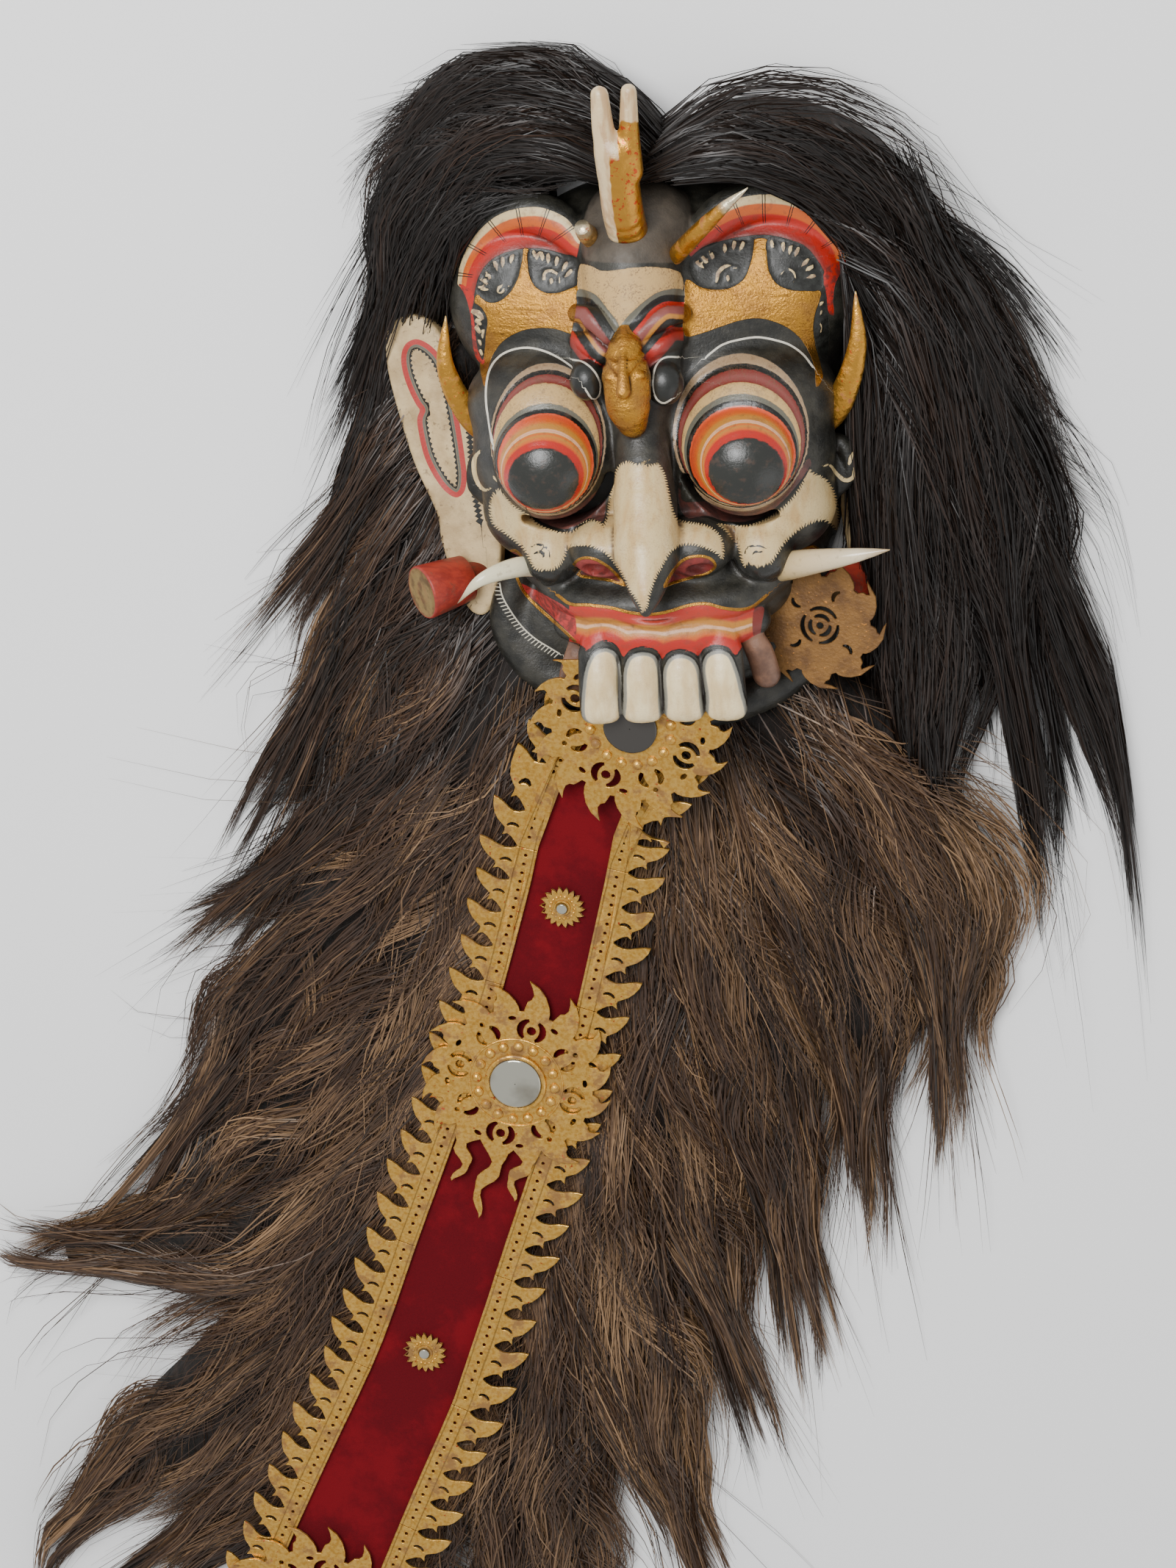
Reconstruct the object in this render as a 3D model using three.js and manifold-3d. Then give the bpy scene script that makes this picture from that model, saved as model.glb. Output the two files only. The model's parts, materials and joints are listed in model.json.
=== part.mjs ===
// A carved demon dance mask lying on its back, with its wig and its long velvet tongue.
// Millimetres. +Z out of the face, +Y towards the crown, +X to the viewer's right.
import * as THREE from 'three';
import { mergeVertices } from 'three/addons/utils/BufferGeometryUtils.js';
import Module from 'manifold-3d';

const wasm = await Module();
wasm.setup();

// Driving dimensions: the carving and all that hangs on it are drawn on a face 318 long
const FACE_LENGTH = 318;       // dome to the tips of the teeth
const K = FACE_LENGTH / 318;
const WALL = 14 * K;           // wood left around the hollow behind the face
const CLEARANCE = 0.3;         // gap between pieces that touch
const HAIR_GAP = 1;            // parting between bundles of hair
const EYE_SLIT = 7 * K;        // height of the openings the dancer sees through
const EAR_THICKNESS = 13 * K;
const EAR_SEAT = 26 * K;       // height of the left ear's back above the ground
const COVERED_EAR_SEAT = 6 * K; // the right ear lies lower, under the hair
const PLUG_RADIUS = 17 * K;
const PLUG_LENGTH = 34 * K;
const PLUG_SHANK_RADIUS = 9 * K;
const CENTRE_HORN_RADIUS = 12.5 * K;
const SIDE_HORN_RADIUS = 9 * K;
const FOREHEAD_HORN_RADIUS = 5.5 * K;
const STUB_RADIUS = 6 * K;
const THICK_TUSK_RADIUS = 9 * K;
const THIN_TUSK_RADIUS = 6.5 * K;
const VELVET_THICKNESS = 5 * K;
const VELVET_HALF_WIDTH_TOP = 20 * K;
const VELVET_HALF_WIDTH_END = 34 * K;
const VELVET_MARGIN = 8 * K;   // velvet under the leather border
const LEATHER = 2.4 * K;
const BORDER_WIDTH = 13.5 * K;
const FLAME_LENGTH = 23 * K;
const BORDER_LENGTHS = 7;      // lengths of leather along each edge
const FLAMES_PER_LENGTH = 4;
const ROSETTE_RADIUS = 50 * K; // body of a large rosette, without its flames
const ROSETTE_FLAMES = 16;
const ROSETTE_FLAME_LENGTH = 17 * K;
const MIRROR_RADIUS = 17 * K;
const MIRROR_THICKNESS = 2 * K;
const BEZEL_WIDTH = 3 * K;
const FLOWER_RADIUS = 10 * K;
const FLOWER_PETALS = 12;
const FLOWER_MIRROR_RADIUS = 3.3 * K;
const EAR_ROSETTE_RADIUS = 31 * K;
const EAR_ROSETTE_FLAMES = 9;

const at = (x, y, z) => new THREE.Vector3(x, y, z).multiplyScalar(K);
const path = (points) => new THREE.CatmullRomCurve3(points.map((p) => at(...p)), false, 'centripetal');
const mirrored = (points) => points.map(([x, ...rest]) => [-x, ...rest]);

const UP = new THREE.Vector3(0, 0, 1);
const DEEP = 400 * K;          // reach of a cut that goes right through

// Solids from geometry and back
function solid(geometry) {
  const bare = geometry.clone();
  bare.deleteAttribute('normal');
  bare.deleteAttribute('uv');
  const merged = mergeVertices(bare, 1e-4);
  return new wasm.Manifold(new wasm.Mesh({
    numProp: 3,
    vertProperties: new Float32Array(merged.attributes.position.array),
    triVerts: new Uint32Array(merged.index.array),
  }));
}

const join = (solids) => solids.reduce((whole, one) => whole.add(one));
const cut = (whole, ...cutters) => cutters.reduce((left, one) => left.subtract(one), whole);

function meshOf(name, whole, material) {
  const { vertProperties, triVerts } = whole.getMesh();
  const geometry = new THREE.BufferGeometry();
  geometry.setAttribute('position', new THREE.BufferAttribute(new Float32Array(vertProperties), 3));
  geometry.setIndex(new THREE.BufferAttribute(new Uint32Array(triVerts), 1));
  const mesh = new THREE.Mesh(geometry, material);
  mesh.name = name;
  return mesh;
}

// An ellipsoid with its poles along Z
function ball(centre, radii, grow, wide, high) {
  const geometry = new THREE.SphereGeometry(1, wide, high).rotateX(Math.PI / 2);
  geometry.scale(...radii.map((radius) => radius * K + grow));
  const middle = at(...centre);
  return solid(geometry.translate(middle.x, middle.y, middle.z));
}

// A rod bent along a curve: radiusAt(t) gives its half width and half height along the way,
// and `grow` lengthens it past both ends
function rod(curve, radiusAt, sides, steps, grow = 0) {
  const geometry = new THREE.CylinderGeometry(1, 1, 1, sides, steps);
  const places = geometry.attributes.position;
  for (let i = 0; i < places.count; i += 1) {
    const t = THREE.MathUtils.clamp(places.getY(i) + 0.5, 0, 1);
    const along = curve.getTangentAt(t);
    const side = along.clone().cross(UP).normalize();
    const up = side.clone().cross(along);
    const [wide, high] = radiusAt(t);
    const past = (t === 1 ? grow : 0) - (t === 0 ? grow : 0);
    const point = curve.getPointAt(t)
      .addScaledVector(along, past)
      .addScaledVector(side, places.getX(i) * wide)
      .addScaledVector(up, places.getZ(i) * high);
    places.setXYZ(i, point.x, point.y, point.z);
  }
  return solid(geometry);
}

const flat = (shape, depth) =>
  new THREE.ExtrudeGeometry(shape, { depth, bevelEnabled: false, curveSegments: 5 });

// Everything below the ground, or below a given height
function below(height) {
  return solid(new THREE.BoxGeometry(8 * DEEP, 8 * DEEP, DEEP).translate(0, 0, height - DEEP / 2));
}

// Carved forms of the face: centre and half sizes, as drawn
const SKULL = [[0, -2, 0], [110, 148, 86]];
const BROW = [[0, 62, 12], [106, 80, 62]];
const CAVITIES = [SKULL, BROW];
const EYES = [[-61.5, 3.7], [56.5, 1.5]];
const EYE_RADIUS = 33;
const FACE_FORMS = [
  [[-4, 132, 50], [36, 32, 35]],
  [[-5, 86, 50], [32, 60, 50]],
  [[-24, 84, 84], [14, 22, 16]],
  [[14, 82, 84], [14, 22, 16]],
  [[-32, 57, 92], [10.5, 12, 15]],
  [[14, 53, 92], [10.5, 12, 15]],
  [[-8, 57, 102], [15, 29, 24]],
  [[-72, 90, 28], [42, 50, 38]],
  [[-54, 84, 42], [32, 42, 26]],
  [[68, 90, 28], [42, 50, 38]],
  [[48, 84, 42], [32, 42, 26]],
  [[-65, 34, 54], [48, 32, 42]],
  [[60, 32, 54], [48, 32, 42]],
  [[-70, -32, 56], [40, 34, 38]],
  [[67, -33, 56], [39, 34, 38]],
  [[-65, -54, 84], [18, 20, 20]],
  [[63, -56, 84], [18, 20, 20]],
  [[-30, -50, 92], [23, 18, 25]],
  [[24, -51, 92], [23, 18, 25]],
  [[-107, -20, 40], [13, 15, 14]],
  [[104, -20, 40], [13, 15, 14]],
  [[-2, -84, 52], [80, 36, 54]],
  [[-2, -122, 22], [84, 42, 38]],
  [[-74, -112, 30], [30, 34, 22]],
  [[68, -108, 30], [28, 32, 22]],
];
const EYE_MOUND = [51, 52, 49];
const EYE_MOUND_HEIGHT = 60;
const EYE_HEIGHT = 89;
const NOSE = [[-5, 26, 86], [-4, 6, 96], [-3, -20, 106], [-2, -48, 122], [-1, -66, 138], [-1, -76, 145]];
const NOSE_RADII = [15, 16, 19, 19, 10, 4];
const LIP = [[-80, -70, 66], [-46, -84, 94], [-2, -85, 101], [44, -85, 94], [78, -72, 66]];
const GUM = [[-58, -100, 82], [-28, -104, 95], [0, -104, 99], [28, -104, 95], [55, -100, 82]];
const JAW = [[-96, -78, 40], [-104, -108, 38], [-90, -136, 36], [-56, -156, 38], [0, -166, 44],
  [40, -162, 42], [76, -144, 36], [94, -112, 36], [92, -80, 38]];
const ARCHES = [
  [[-113, 88, 28], [-109, 113, 38], [-96, 132, 44], [-72, 141, 50], [-50, 135, 56], [-34, 118, 62]],
  [[113, 88, 28], [109, 113, 38], [96, 132, 44], [70, 141, 50], [46, 135, 56], [26, 116, 62]],
];
const TEETH = 4;
const TOOTH_PITCH = 24.4;
const TEETH_MIDDLE = -1;
const TOOTH_TOP = -104;
const TOOTH_TIP = -155;
const MOLARS = [
  [[-48, -100, 82], [-57, -128, 84], [-61, -144, 76]],
  [[48, -100, 82], [58, -122, 84], [60, -138, 78]],
];

const blend = (values, t) => {
  const place = t * (values.length - 1);
  const low = Math.min(Math.floor(place), values.length - 2);
  return THREE.MathUtils.lerp(values[low], values[low + 1], place - low);
};
const taper = (radii, flat = 1, grow = 0) => (t) => {
  const radius = blend(radii, t) * K;
  return [radius + grow, radius * flat + grow];
};

// The outside of the carved face, as one solid block
function faceForms(grow) {
  const forms = [
    ball(...SKULL, grow, 16, 6),
    ball(...BROW, grow, 14, 6),
    ...FACE_FORMS.map((form) => ball(...form, grow, 8, 4)),
    rod(path(NOSE), taper(NOSE_RADII, 1, grow), 7, 5, grow),
    rod(path(LIP), taper([7, 10, 10, 10, 7], 1, grow), 5, 6, grow),
    rod(path(GUM), taper([10, 13, 13, 13, 10], 1, grow), 5, 4, grow),
    rod(path(JAW), taper([12, 14, 14, 14, 14, 14, 13, 13, 12], 1.1, grow), 5, 8, grow),
    ...ARCHES.map((arch) => rod(path(arch), taper([8, 12, 13, 13, 12, 8], 0.8, grow), 5, 6, grow)),
    ...MOLARS.map((molar) => rod(path(molar), taper([8, 10, 9], 1, grow), 5, 2, grow)),
  ];
  for (const [x, y] of EYES) {
    forms.push(ball([x, y, EYE_MOUND_HEIGHT], EYE_MOUND, grow, 10, 5));
    forms.push(ball([x, y, EYE_HEIGHT], [EYE_RADIUS, EYE_RADIUS, EYE_RADIUS], grow, 14, 7));
  }
  for (let i = 0; i < TEETH; i += 1) {
    const x = TEETH_MIDDLE + (i - (TEETH - 1) / 2) * TOOTH_PITCH;
    const tooth = [[x, TOOTH_TOP, 104], [x * 1.03, -132, 110], [x * 1.08, TOOTH_TIP, 108]];
    forms.push(rod(path(tooth), taper([12.4, 12.8, 12.2], 0.66, grow), 6, 2, grow));
  }
  return join(forms);
}

// The openings under the eyeballs, cut through into the hollow
function eyeSlit([x, y]) {
  const turned = Math.sign(x) * -0.42;
  const inner = (EYE_RADIUS + 1) * K;
  const spread = 0.85;
  const down = -Math.PI / 2 + turned;
  const shape = new THREE.Shape();
  shape.absarc(0, 0, inner + EYE_SLIT, down - spread, down + spread, false);
  shape.absarc(0, 0, inner, down + spread, down - spread, true);
  const geometry = flat(shape, DEEP);
  const middle = at(x, y, 0);
  return solid(geometry.translate(middle.x, middle.y, 0));
}

function hollow() {
  return join(CAVITIES.map(([centre, radii]) => ball(centre, radii, -WALL, 14, 6)));
}

// Horns, tusks and the stub: each starts below the wood's surface by the depth of its socket
const HORNS = {
  tusk_left: {
    points: [[-72, -66, 74], [-86, -60, 96], [-106, -64, 110], [-121, -78, 108]],
    radius: THIN_TUSK_RADIUS, ends: [1, 1, 0.8, 0.3], flat: 0.8, material: 'bone',
  },
  tusk_right: {
    points: [[66, -72, 72], [88, -64, 92], [114, -58, 104], [141, -53, 110]],
    radius: THICK_TUSK_RADIUS, ends: [1, 0.95, 0.7, 0.25], flat: 1, material: 'bone',
  },
  horn_centre: {
    points: [[-5, 128, 74], [-6, 150, 92], [-6, 186, 104], [-4, 222, 108]],
    radius: CENTRE_HORN_RADIUS, ends: [1, 1, 0.95, 0.75], flat: 0.75, material: 'bone',
  },
  horn_stub_left: {
    points: [[-27, 130, 70], [-30, 138, 84], [-31, 143, 92]],
    radius: STUB_RADIUS, ends: [1, 1, 0.9], flat: 1, material: 'bone',
  },
  horn_right: {
    points: [[20, 120, 76], [36, 136, 96], [54, 152, 106], [70, 164, 110]],
    radius: FOREHEAD_HORN_RADIUS, ends: [1, 1, 0.9, 0.4], flat: 1, material: 'gilt',
  },
  side_horn_left: {
    points: [[-95, 4, 40], [-112, 24, 58], [-124, 58, 68], [-121, 90, 70]],
    radius: SIDE_HORN_RADIUS, ends: [0.9, 1, 0.85, 0.3], flat: 1, material: 'gilt',
  },
  side_horn_right: {
    points: [[92, 4, 40], [110, 24, 58], [124, 60, 68], [125, 94, 70]],
    radius: SIDE_HORN_RADIUS, ends: [0.9, 1, 0.85, 0.3], flat: 1, material: 'gilt',
  },
};

function horn({ points, radius, ends, flat }, grow) {
  const radiusAt = (t) => {
    const wide = blend(ends, t) * radius;
    return [wide + grow, wide * flat + grow];
  };
  return rod(path(points), radiusAt, 6, 5, grow);
}

// The split that parts the centre horn's end into two prongs
function hornSplit() {
  const tip = at(...HORNS.horn_centre.points.at(-1));
  const split = new THREE.Shape();
  split.moveTo(-CENTRE_HORN_RADIUS * 0.28, DEEP / 8);
  split.lineTo(CENTRE_HORN_RADIUS * 0.05, -34 * K);
  split.lineTo(CENTRE_HORN_RADIUS * 0.28, DEEP / 8);
  const geometry = flat(split, DEEP / 4);
  return solid(geometry.translate(tip.x, tip.y, tip.z - DEEP / 8));
}

// Ears: carved planks against the cheeks, hinged outward from the face
const EAR_OUTLINE = [[-126, -104], [-133, -94], [-143, -58], [-144, -42], [-156, -8], [-164, 27],
  [-168, 56], [-166, 74], [-158, 84], [-144, 84], [-132, 72], [-126, 44], [-106, 10], [-104, -54],
  [-112, -96], [-119, -105]];
const EAR_TILT = 0.1;

function outline(points, grow) {
  const middle = points.reduce((sum, [x, y]) => [sum[0] + x / points.length, sum[1] + y / points.length], [0, 0]);
  const grown = points.map(([x, y]) => {
    const out = new THREE.Vector2(x - middle[0], y - middle[1]).setLength(grow / K);
    return new THREE.Vector2(x + out.x, y + out.y).multiplyScalar(K);
  });
  return new THREE.Shape(grown);
}

function ear(side, grow, depth = EAR_THICKNESS) {
  const points = side < 0 ? EAR_OUTLINE : mirrored(EAR_OUTLINE).reverse();
  const shape = outline(points, grow);
  const geometry = flat(shape, depth + 2 * grow);
  const pivot = side * 106 * K;
  const seat = side < 0 ? EAR_SEAT : COVERED_EAR_SEAT;
  geometry.translate(-pivot, 0, -grow).rotateY(side * EAR_TILT).translate(pivot, 0, seat);
  return solid(geometry);
}

// Ear plugs: a drum in front of the lobe and a shank through the hole in it
const PLUG_PLACES = {
  ear_plug_left: { foot: [-127, -80, 38], tip: [-156, -84, 62] },
  ear_plug_right: { foot: [116, -84, 18], tip: [100, -104, 50] },
};

function plug({ foot, tip }, grow) {
  const shank = EAR_THICKNESS * 0.8;
  const profile = [[0, -shank - grow], [PLUG_SHANK_RADIUS + grow, -shank - grow],
    [PLUG_SHANK_RADIUS + grow, 2 - grow], [PLUG_RADIUS * 0.86 + grow, 2 - grow],
    [PLUG_RADIUS + grow, PLUG_LENGTH + grow], [0, PLUG_LENGTH + grow]];
  const geometry = new THREE.LatheGeometry(profile.map(([x, y]) => new THREE.Vector2(x, y)), 14);
  const from = at(...foot);
  const lean = new THREE.Quaternion().setFromUnitVectors(new THREE.Vector3(0, 1, 0), at(...tip).sub(from).normalize());
  return solid(geometry.applyQuaternion(lean).translate(from.x, from.y, from.z));
}

// The lie of the tongue, from behind the teeth down over the chin and along the hair
const TONGUE_ROUTE = path([[-4, -129, 88], [-24, -164, 83], [-50, -208, 70], [-60, -223, 66],
  [-82, -294, 53], [-122, -414, 47], [-172, -538, 45], [-204, -618, 44], [-250, -710, 43], [-297, -808, 42], [-325, -880, 42]]);
const TONGUE_LENGTH = TONGUE_ROUTE.getLength();
const halfWidth = (u) => THREE.MathUtils.lerp(VELVET_HALF_WIDTH_TOP, VELVET_HALF_WIDTH_END,
  THREE.MathUtils.clamp(u / TONGUE_LENGTH, 0, 1));

// Bends a flat shape, drawn as (along, across, height), onto the tongue's upper face
function onTongue(geometry, lift) {
  const places = geometry.attributes.position;
  for (let i = 0; i < places.count; i += 1) {
    const u = places.getX(i);
    const t = THREE.MathUtils.clamp(u / TONGUE_LENGTH, 0, 1);
    const along = TONGUE_ROUTE.getTangentAt(t);
    const across = UP.clone().cross(along).normalize();
    const up = along.clone().cross(across);
    const point = TONGUE_ROUTE.getPointAt(t)
      .addScaledVector(along, u - t * TONGUE_LENGTH)
      .addScaledVector(across, places.getY(i))
      .addScaledVector(up, places.getZ(i) + lift);
    places.setXYZ(i, point.x, point.y, point.z);
  }
  return solid(geometry);
}

const TONGUE_STEPS = 36;
const BORDER_LIFT = 3 * CLEARANCE;
const ROSETTE_LIFT = BORDER_LIFT + LEATHER + 3 * CLEARANCE;

// Lays a flat, stiff piece on the tongue: it rests on the chord of the stretch that it covers
function laidOn(geometry, along, reach, lift) {
  const spot = (u) => TONGUE_ROUTE.getPointAt(THREE.MathUtils.clamp(u / TONGUE_LENGTH, 0, 1));
  const ahead = spot(along + reach).sub(spot(along - reach)).normalize();
  const across = UP.clone().cross(ahead).normalize();
  const up = ahead.clone().cross(across);
  const turn = new THREE.Matrix4().makeBasis(ahead, across, up);
  const centre = spot(along).addScaledVector(up, lift);
  return solid(geometry.applyMatrix4(turn.setPosition(centre)));
}

// A strip along the tongue: halfWide(u) across, from `low` to `high` above its upper face
function strip(start, end, steps, halfWide, low, high) {
  const geometry = new THREE.BoxGeometry(end - start, 2, high - low, steps, 1, 1);
  geometry.translate((start + end) / 2, 0, (low + high) / 2);
  const places = geometry.attributes.position;
  for (let i = 0; i < places.count; i += 1) places.setY(i, places.getY(i) * halfWide(places.getX(i)));
  return onTongue(geometry, 0);
}

// The velvet, with a rounded end
function tongue() {
  const rounding = 45 * K;
  const halfWide = (u) => {
    const into = Math.max(0, u - TONGUE_LENGTH + rounding) / rounding;
    return (halfWidth(u) + VELVET_MARGIN) * Math.sqrt(Math.max(0.06, 1 - into ** 2));
  };
  return strip(0, TONGUE_LENGTH, TONGUE_STEPS, halfWide, -VELVET_THICKNESS, 0);
}

// The bed that the tongue and its borders need in the hair
function tongueBed() {
  const wide = VELVET_HALF_WIDTH_END + BORDER_WIDTH + FLAME_LENGTH + 8 * K;
  return strip(-20 * K, TONGUE_LENGTH + 40 * K, TONGUE_STEPS, () => wide, -VELVET_THICKNESS - CLEARANCE, DEEP / 4);
}

// One length of gilt leather border, with flames that lean back towards the crown
const BORDER_START = 50 * K;
const BORDER_END = TONGUE_LENGTH - 70 * K;

function border(side, index) {
  const length = (BORDER_END - BORDER_START) / BORDER_LENGTHS;
  const start = BORDER_START + index * length;
  const pitch = (length - CLEARANCE) / FLAMES_PER_LENGTH;
  const rim = (u, out) => new THREE.Vector2(u, side * (halfWidth(u) + out));
  const points = [];
  for (let i = 0; i < FLAMES_PER_LENGTH; i += 1) {
    const u = start + i * pitch;
    points.push(rim(u + pitch * 0.16, BORDER_WIDTH + FLAME_LENGTH * 0.45));
    points.push(rim(u + pitch * 0.04, BORDER_WIDTH + FLAME_LENGTH));
    points.push(rim(u + pitch * 0.46, BORDER_WIDTH + FLAME_LENGTH * 0.78));
    points.push(rim(u + pitch * 0.8, BORDER_WIDTH + FLAME_LENGTH * 0.34));
    points.push(rim(u + pitch * 0.95, BORDER_WIDTH));
  }
  const last = start + length - CLEARANCE;
  points.push(rim(last, BORDER_WIDTH));
  for (let i = FLAMES_PER_LENGTH; i >= 0; i -= 1) points.push(rim(start + i * pitch, 0));
  if (side < 0) points.reverse();
  return onTongue(flat(new THREE.Shape(points), LEATHER), BORDER_LIFT);
}

// A ring of flames round a disc: the flames in `tails` are wavy and hang longer than the rest
function flameDisc(radius, flames, reach, lean = 0.3, sway = 0, tails = {}) {
  const points = [];
  const step = (2 * Math.PI) / flames;
  for (let i = 0; i < flames; i += 1) {
    const angle = i * step;
    const long = reach * (1 + sway * Math.cos(2 * angle));
    const polar = (turn, out) => new THREE.Vector2(Math.cos(angle + turn * step), Math.sin(angle + turn * step))
      .multiplyScalar(out);
    points.push(polar(-0.45, radius));
    if (tails[i]) {
      points.push(...wavyTail(polar(0, radius), tails[i], (radius * step) / 2));
    } else {
      points.push(polar(lean, radius + long));
      points.push(polar(0.34, radius + long * 0.36));
    }
  }
  return new THREE.Shape(points);
}

// A leaf that waves along +X from its root and ends in a point
function wavyTail(root, long, half) {
  const steps = 4;
  const side = (sign) => Array.from({ length: steps }, (_, j) => {
    const t = (j + 0.5) / steps;
    const wave = Math.sin(t * 6.5) * half * 0.5 * Math.sign(root.y || 1);
    return new THREE.Vector2(root.x + t * long, root.y + wave + sign * half * (1 - t) ** 0.5);
  });
  return [...side(-1), new THREE.Vector2(root.x + long, root.y), ...side(1).reverse()];
}

// The chin rosette ends in a straight edge, tucked in under the teeth
const TUCKED_EDGE = -116;

function underTeeth() {
  return solid(new THREE.BoxGeometry(DEEP, DEEP, DEEP).translate(0, at(0, TUCKED_EDGE, 0).y + DEEP / 2, 0));
}

const ROSETTES = {
  chin: { along: 38 * K, lift: ROSETTE_LIFT + 4 * K, tails: {} },
  middle: { along: 313 * K, lift: ROSETTE_LIFT, tails: { 0: 52 * K, 1: 36 * K, 15: 36 * K } },
  bottom: { along: TONGUE_LENGTH - 77 * K, lift: ROSETTE_LIFT, tails: { 0: 52 * K, 1: 36 * K, 15: 36 * K } },
};

function rosette({ along, lift, tails }) {
  const shape = flameDisc(ROSETTE_RADIUS, ROSETTE_FLAMES, ROSETTE_FLAME_LENGTH, 0.3, 0.25, tails);
  const profile = [[MIRROR_RADIUS, LEATHER / 2], [MIRROR_RADIUS + BEZEL_WIDTH, LEATHER / 2],
    [MIRROR_RADIUS + BEZEL_WIDTH * 0.8, LEATHER + BEZEL_WIDTH], [MIRROR_RADIUS, LEATHER + BEZEL_WIDTH], [MIRROR_RADIUS, LEATHER / 2]];
  const bezel = new THREE.LatheGeometry(profile.map(([x, y]) => new THREE.Vector2(x, y)), 12);
  const place = (geometry) => laidOn(geometry, along, ROSETTE_RADIUS, lift);
  return place(flat(shape, LEATHER)).add(place(bezel.rotateX(Math.PI / 2)));
}

function mirror(along, reach, radius, lift) {
  const glass = new THREE.CylinderGeometry(radius, radius, MIRROR_THICKNESS, 12).rotateX(Math.PI / 2);
  return laidOn(glass.translate(0, 0, MIRROR_THICKNESS / 2), along, reach, lift);
}

const FLOWERS = {
  upper: { along: 186 * K },
  lower: { along: 524 * K },
};

function flower({ along }) {
  const shape = flameDisc(FLOWER_RADIUS * 0.7, FLOWER_PETALS, FLOWER_RADIUS * 0.3, 0);
  return laidOn(flat(shape, LEATHER), along, FLOWER_RADIUS, BORDER_LIFT);
}

// The gilt rosette pinned on the right ear plug, with a straight edge towards the mouth
function earRosette() {
  const centre = at(92.5, -111, 62);
  const shape = flameDisc(EAR_ROSETTE_RADIUS, EAR_ROSETTE_FLAMES, 10 * K, 0.42);
  const geometry = flat(shape, LEATHER).rotateZ(0.4).rotateY(-0.1).translate(centre.x, centre.y, centre.z);
  const straight = new THREE.BoxGeometry(DEEP, DEEP, DEEP).translate(at(58, 0, 0).x - DEEP / 2, centre.y, 0);
  return solid(geometry).subtract(solid(straight));
}

// Locks of hair: points are (x, y, height of the lock's top) and half widths along it
const HAIR = {
  hair_middle: [
    { points: [[-14, -176, 40], [-60, -300, 40], [-108, -430, 40], [-160, -560, 38], [-196, -660, 26]], wide: [40, 60, 66, 66, 24] },
    { points: [[-150, -540, 38], [-206, -660, 38], [-262, -770, 34], [-310, -880, 12]], wide: [50, 64, 64, 12] },
    { points: [[-110, -560, 38], [-134, -680, 36], [-150, -790, 26], [-156, -890, 10]], wide: [34, 46, 42, 6] },
  ],
  hair_right: [
    { points: [[60, -156, 44], [112, -216, 46], [150, -300, 36], [154, -404, 14]], wide: [34, 48, 42, 8] },
    { points: [[36, -168, 46], [70, -272, 46], [94, -352, 36], [96, -458, 14]], wide: [32, 50, 44, 8] },
    { points: [[0, -196, 44], [14, -316, 42], [34, -430, 34], [48, -556, 14]], wide: [28, 44, 42, 8] },
    { points: [[-30, -260, 40], [-42, -376, 40], [-24, -490, 36], [2, -612, 14]], wide: [24, 44, 44, 8] },
    { points: [[-66, -400, 40], [-78, -520, 40], [-66, -640, 32], [-44, -762, 12]], wide: [22, 44, 44, 8] },
  ],
  hair_lower_left: [
    { points: [[-92, -140, 40], [-150, -222, 44], [-222, -304, 36], [-298, -388, 26], [-364, -468, 12]], wide: [26, 42, 44, 34, 6] },
    { points: [[-84, -168, 44], [-138, -270, 46], [-212, -378, 40], [-300, -466, 32], [-404, -536, 14]], wide: [26, 44, 48, 40, 6] },
    { points: [[-90, -222, 44], [-146, -340, 46], [-222, -452, 42], [-318, -536, 36], [-448, -548, 22]], wide: [22, 40, 48, 38, 12] },
    { points: [[-128, -340, 42], [-188, -452, 42], [-250, -556, 38], [-330, -640, 30], [-486, -768, 10]], wide: [22, 40, 48, 42, 6] },
    { points: [[-168, -470, 40], [-232, -590, 40], [-300, -690, 32], [-404, -790, 12]], wide: [22, 44, 46, 6] },
  ],
  hair_left: [
    { points: [[-122, 62, 24], [-166, 4, 26], [-204, -44, 10]], wide: [20, 28, 8] },
    { points: [[-118, 10, 26], [-160, -58, 30], [-206, -118, 20], [-246, -184, 10]], wide: [24, 32, 24, 5] },
    { points: [[-110, -54, 30], [-156, -118, 34], [-204, -192, 24], [-252, -266, 12]], wide: [28, 36, 30, 6] },
    { points: [[-104, -100, 32], [-158, -172, 38], [-216, -232, 28], [-276, -282, 12]], wide: [26, 36, 32, 6] },
  ],
  crown_hair_right: [
    { points: [[6, 168, 78], [52, 182, 86], [96, 172, 74], [140, 132, 58], [172, 72, 40]], wide: [14, 26, 32, 32, 26] },
    { points: [[92, 140, 58], [146, 104, 60], [180, 20, 52], [196, -72, 42], [206, -156, 14]], wide: [22, 36, 38, 36, 8] },
    { points: [[118, 108, 50], [142, 44, 52], [150, -44, 56], [152, -140, 50], [150, -232, 26]], wide: [16, 28, 32, 34, 12] },
    { points: [[168, 60, 38], [212, -22, 30], [234, -96, 22], [262, -168, 12]], wide: [16, 16, 12, 4] },
  ],
  crown_hair_left: [
    { points: [[-8, 168, 84], [-48, 186, 84], [-98, 180, 62], [-138, 144, 44], [-158, 96, 30]], wide: [14, 30, 34, 30, 12] },
    { points: [[-60, 150, 66], [-104, 146, 58], [-134, 112, 40], [-158, 64, 24], [-178, 12, 14]], wide: [18, 30, 26, 20, 8] },
    { points: [[10, 176, 70], [-24, 208, 70], [-84, 218, 52], [-128, 190, 34], [-156, 134, 14]], wide: [12, 20, 22, 16, 6] },
  ],
};

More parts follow.
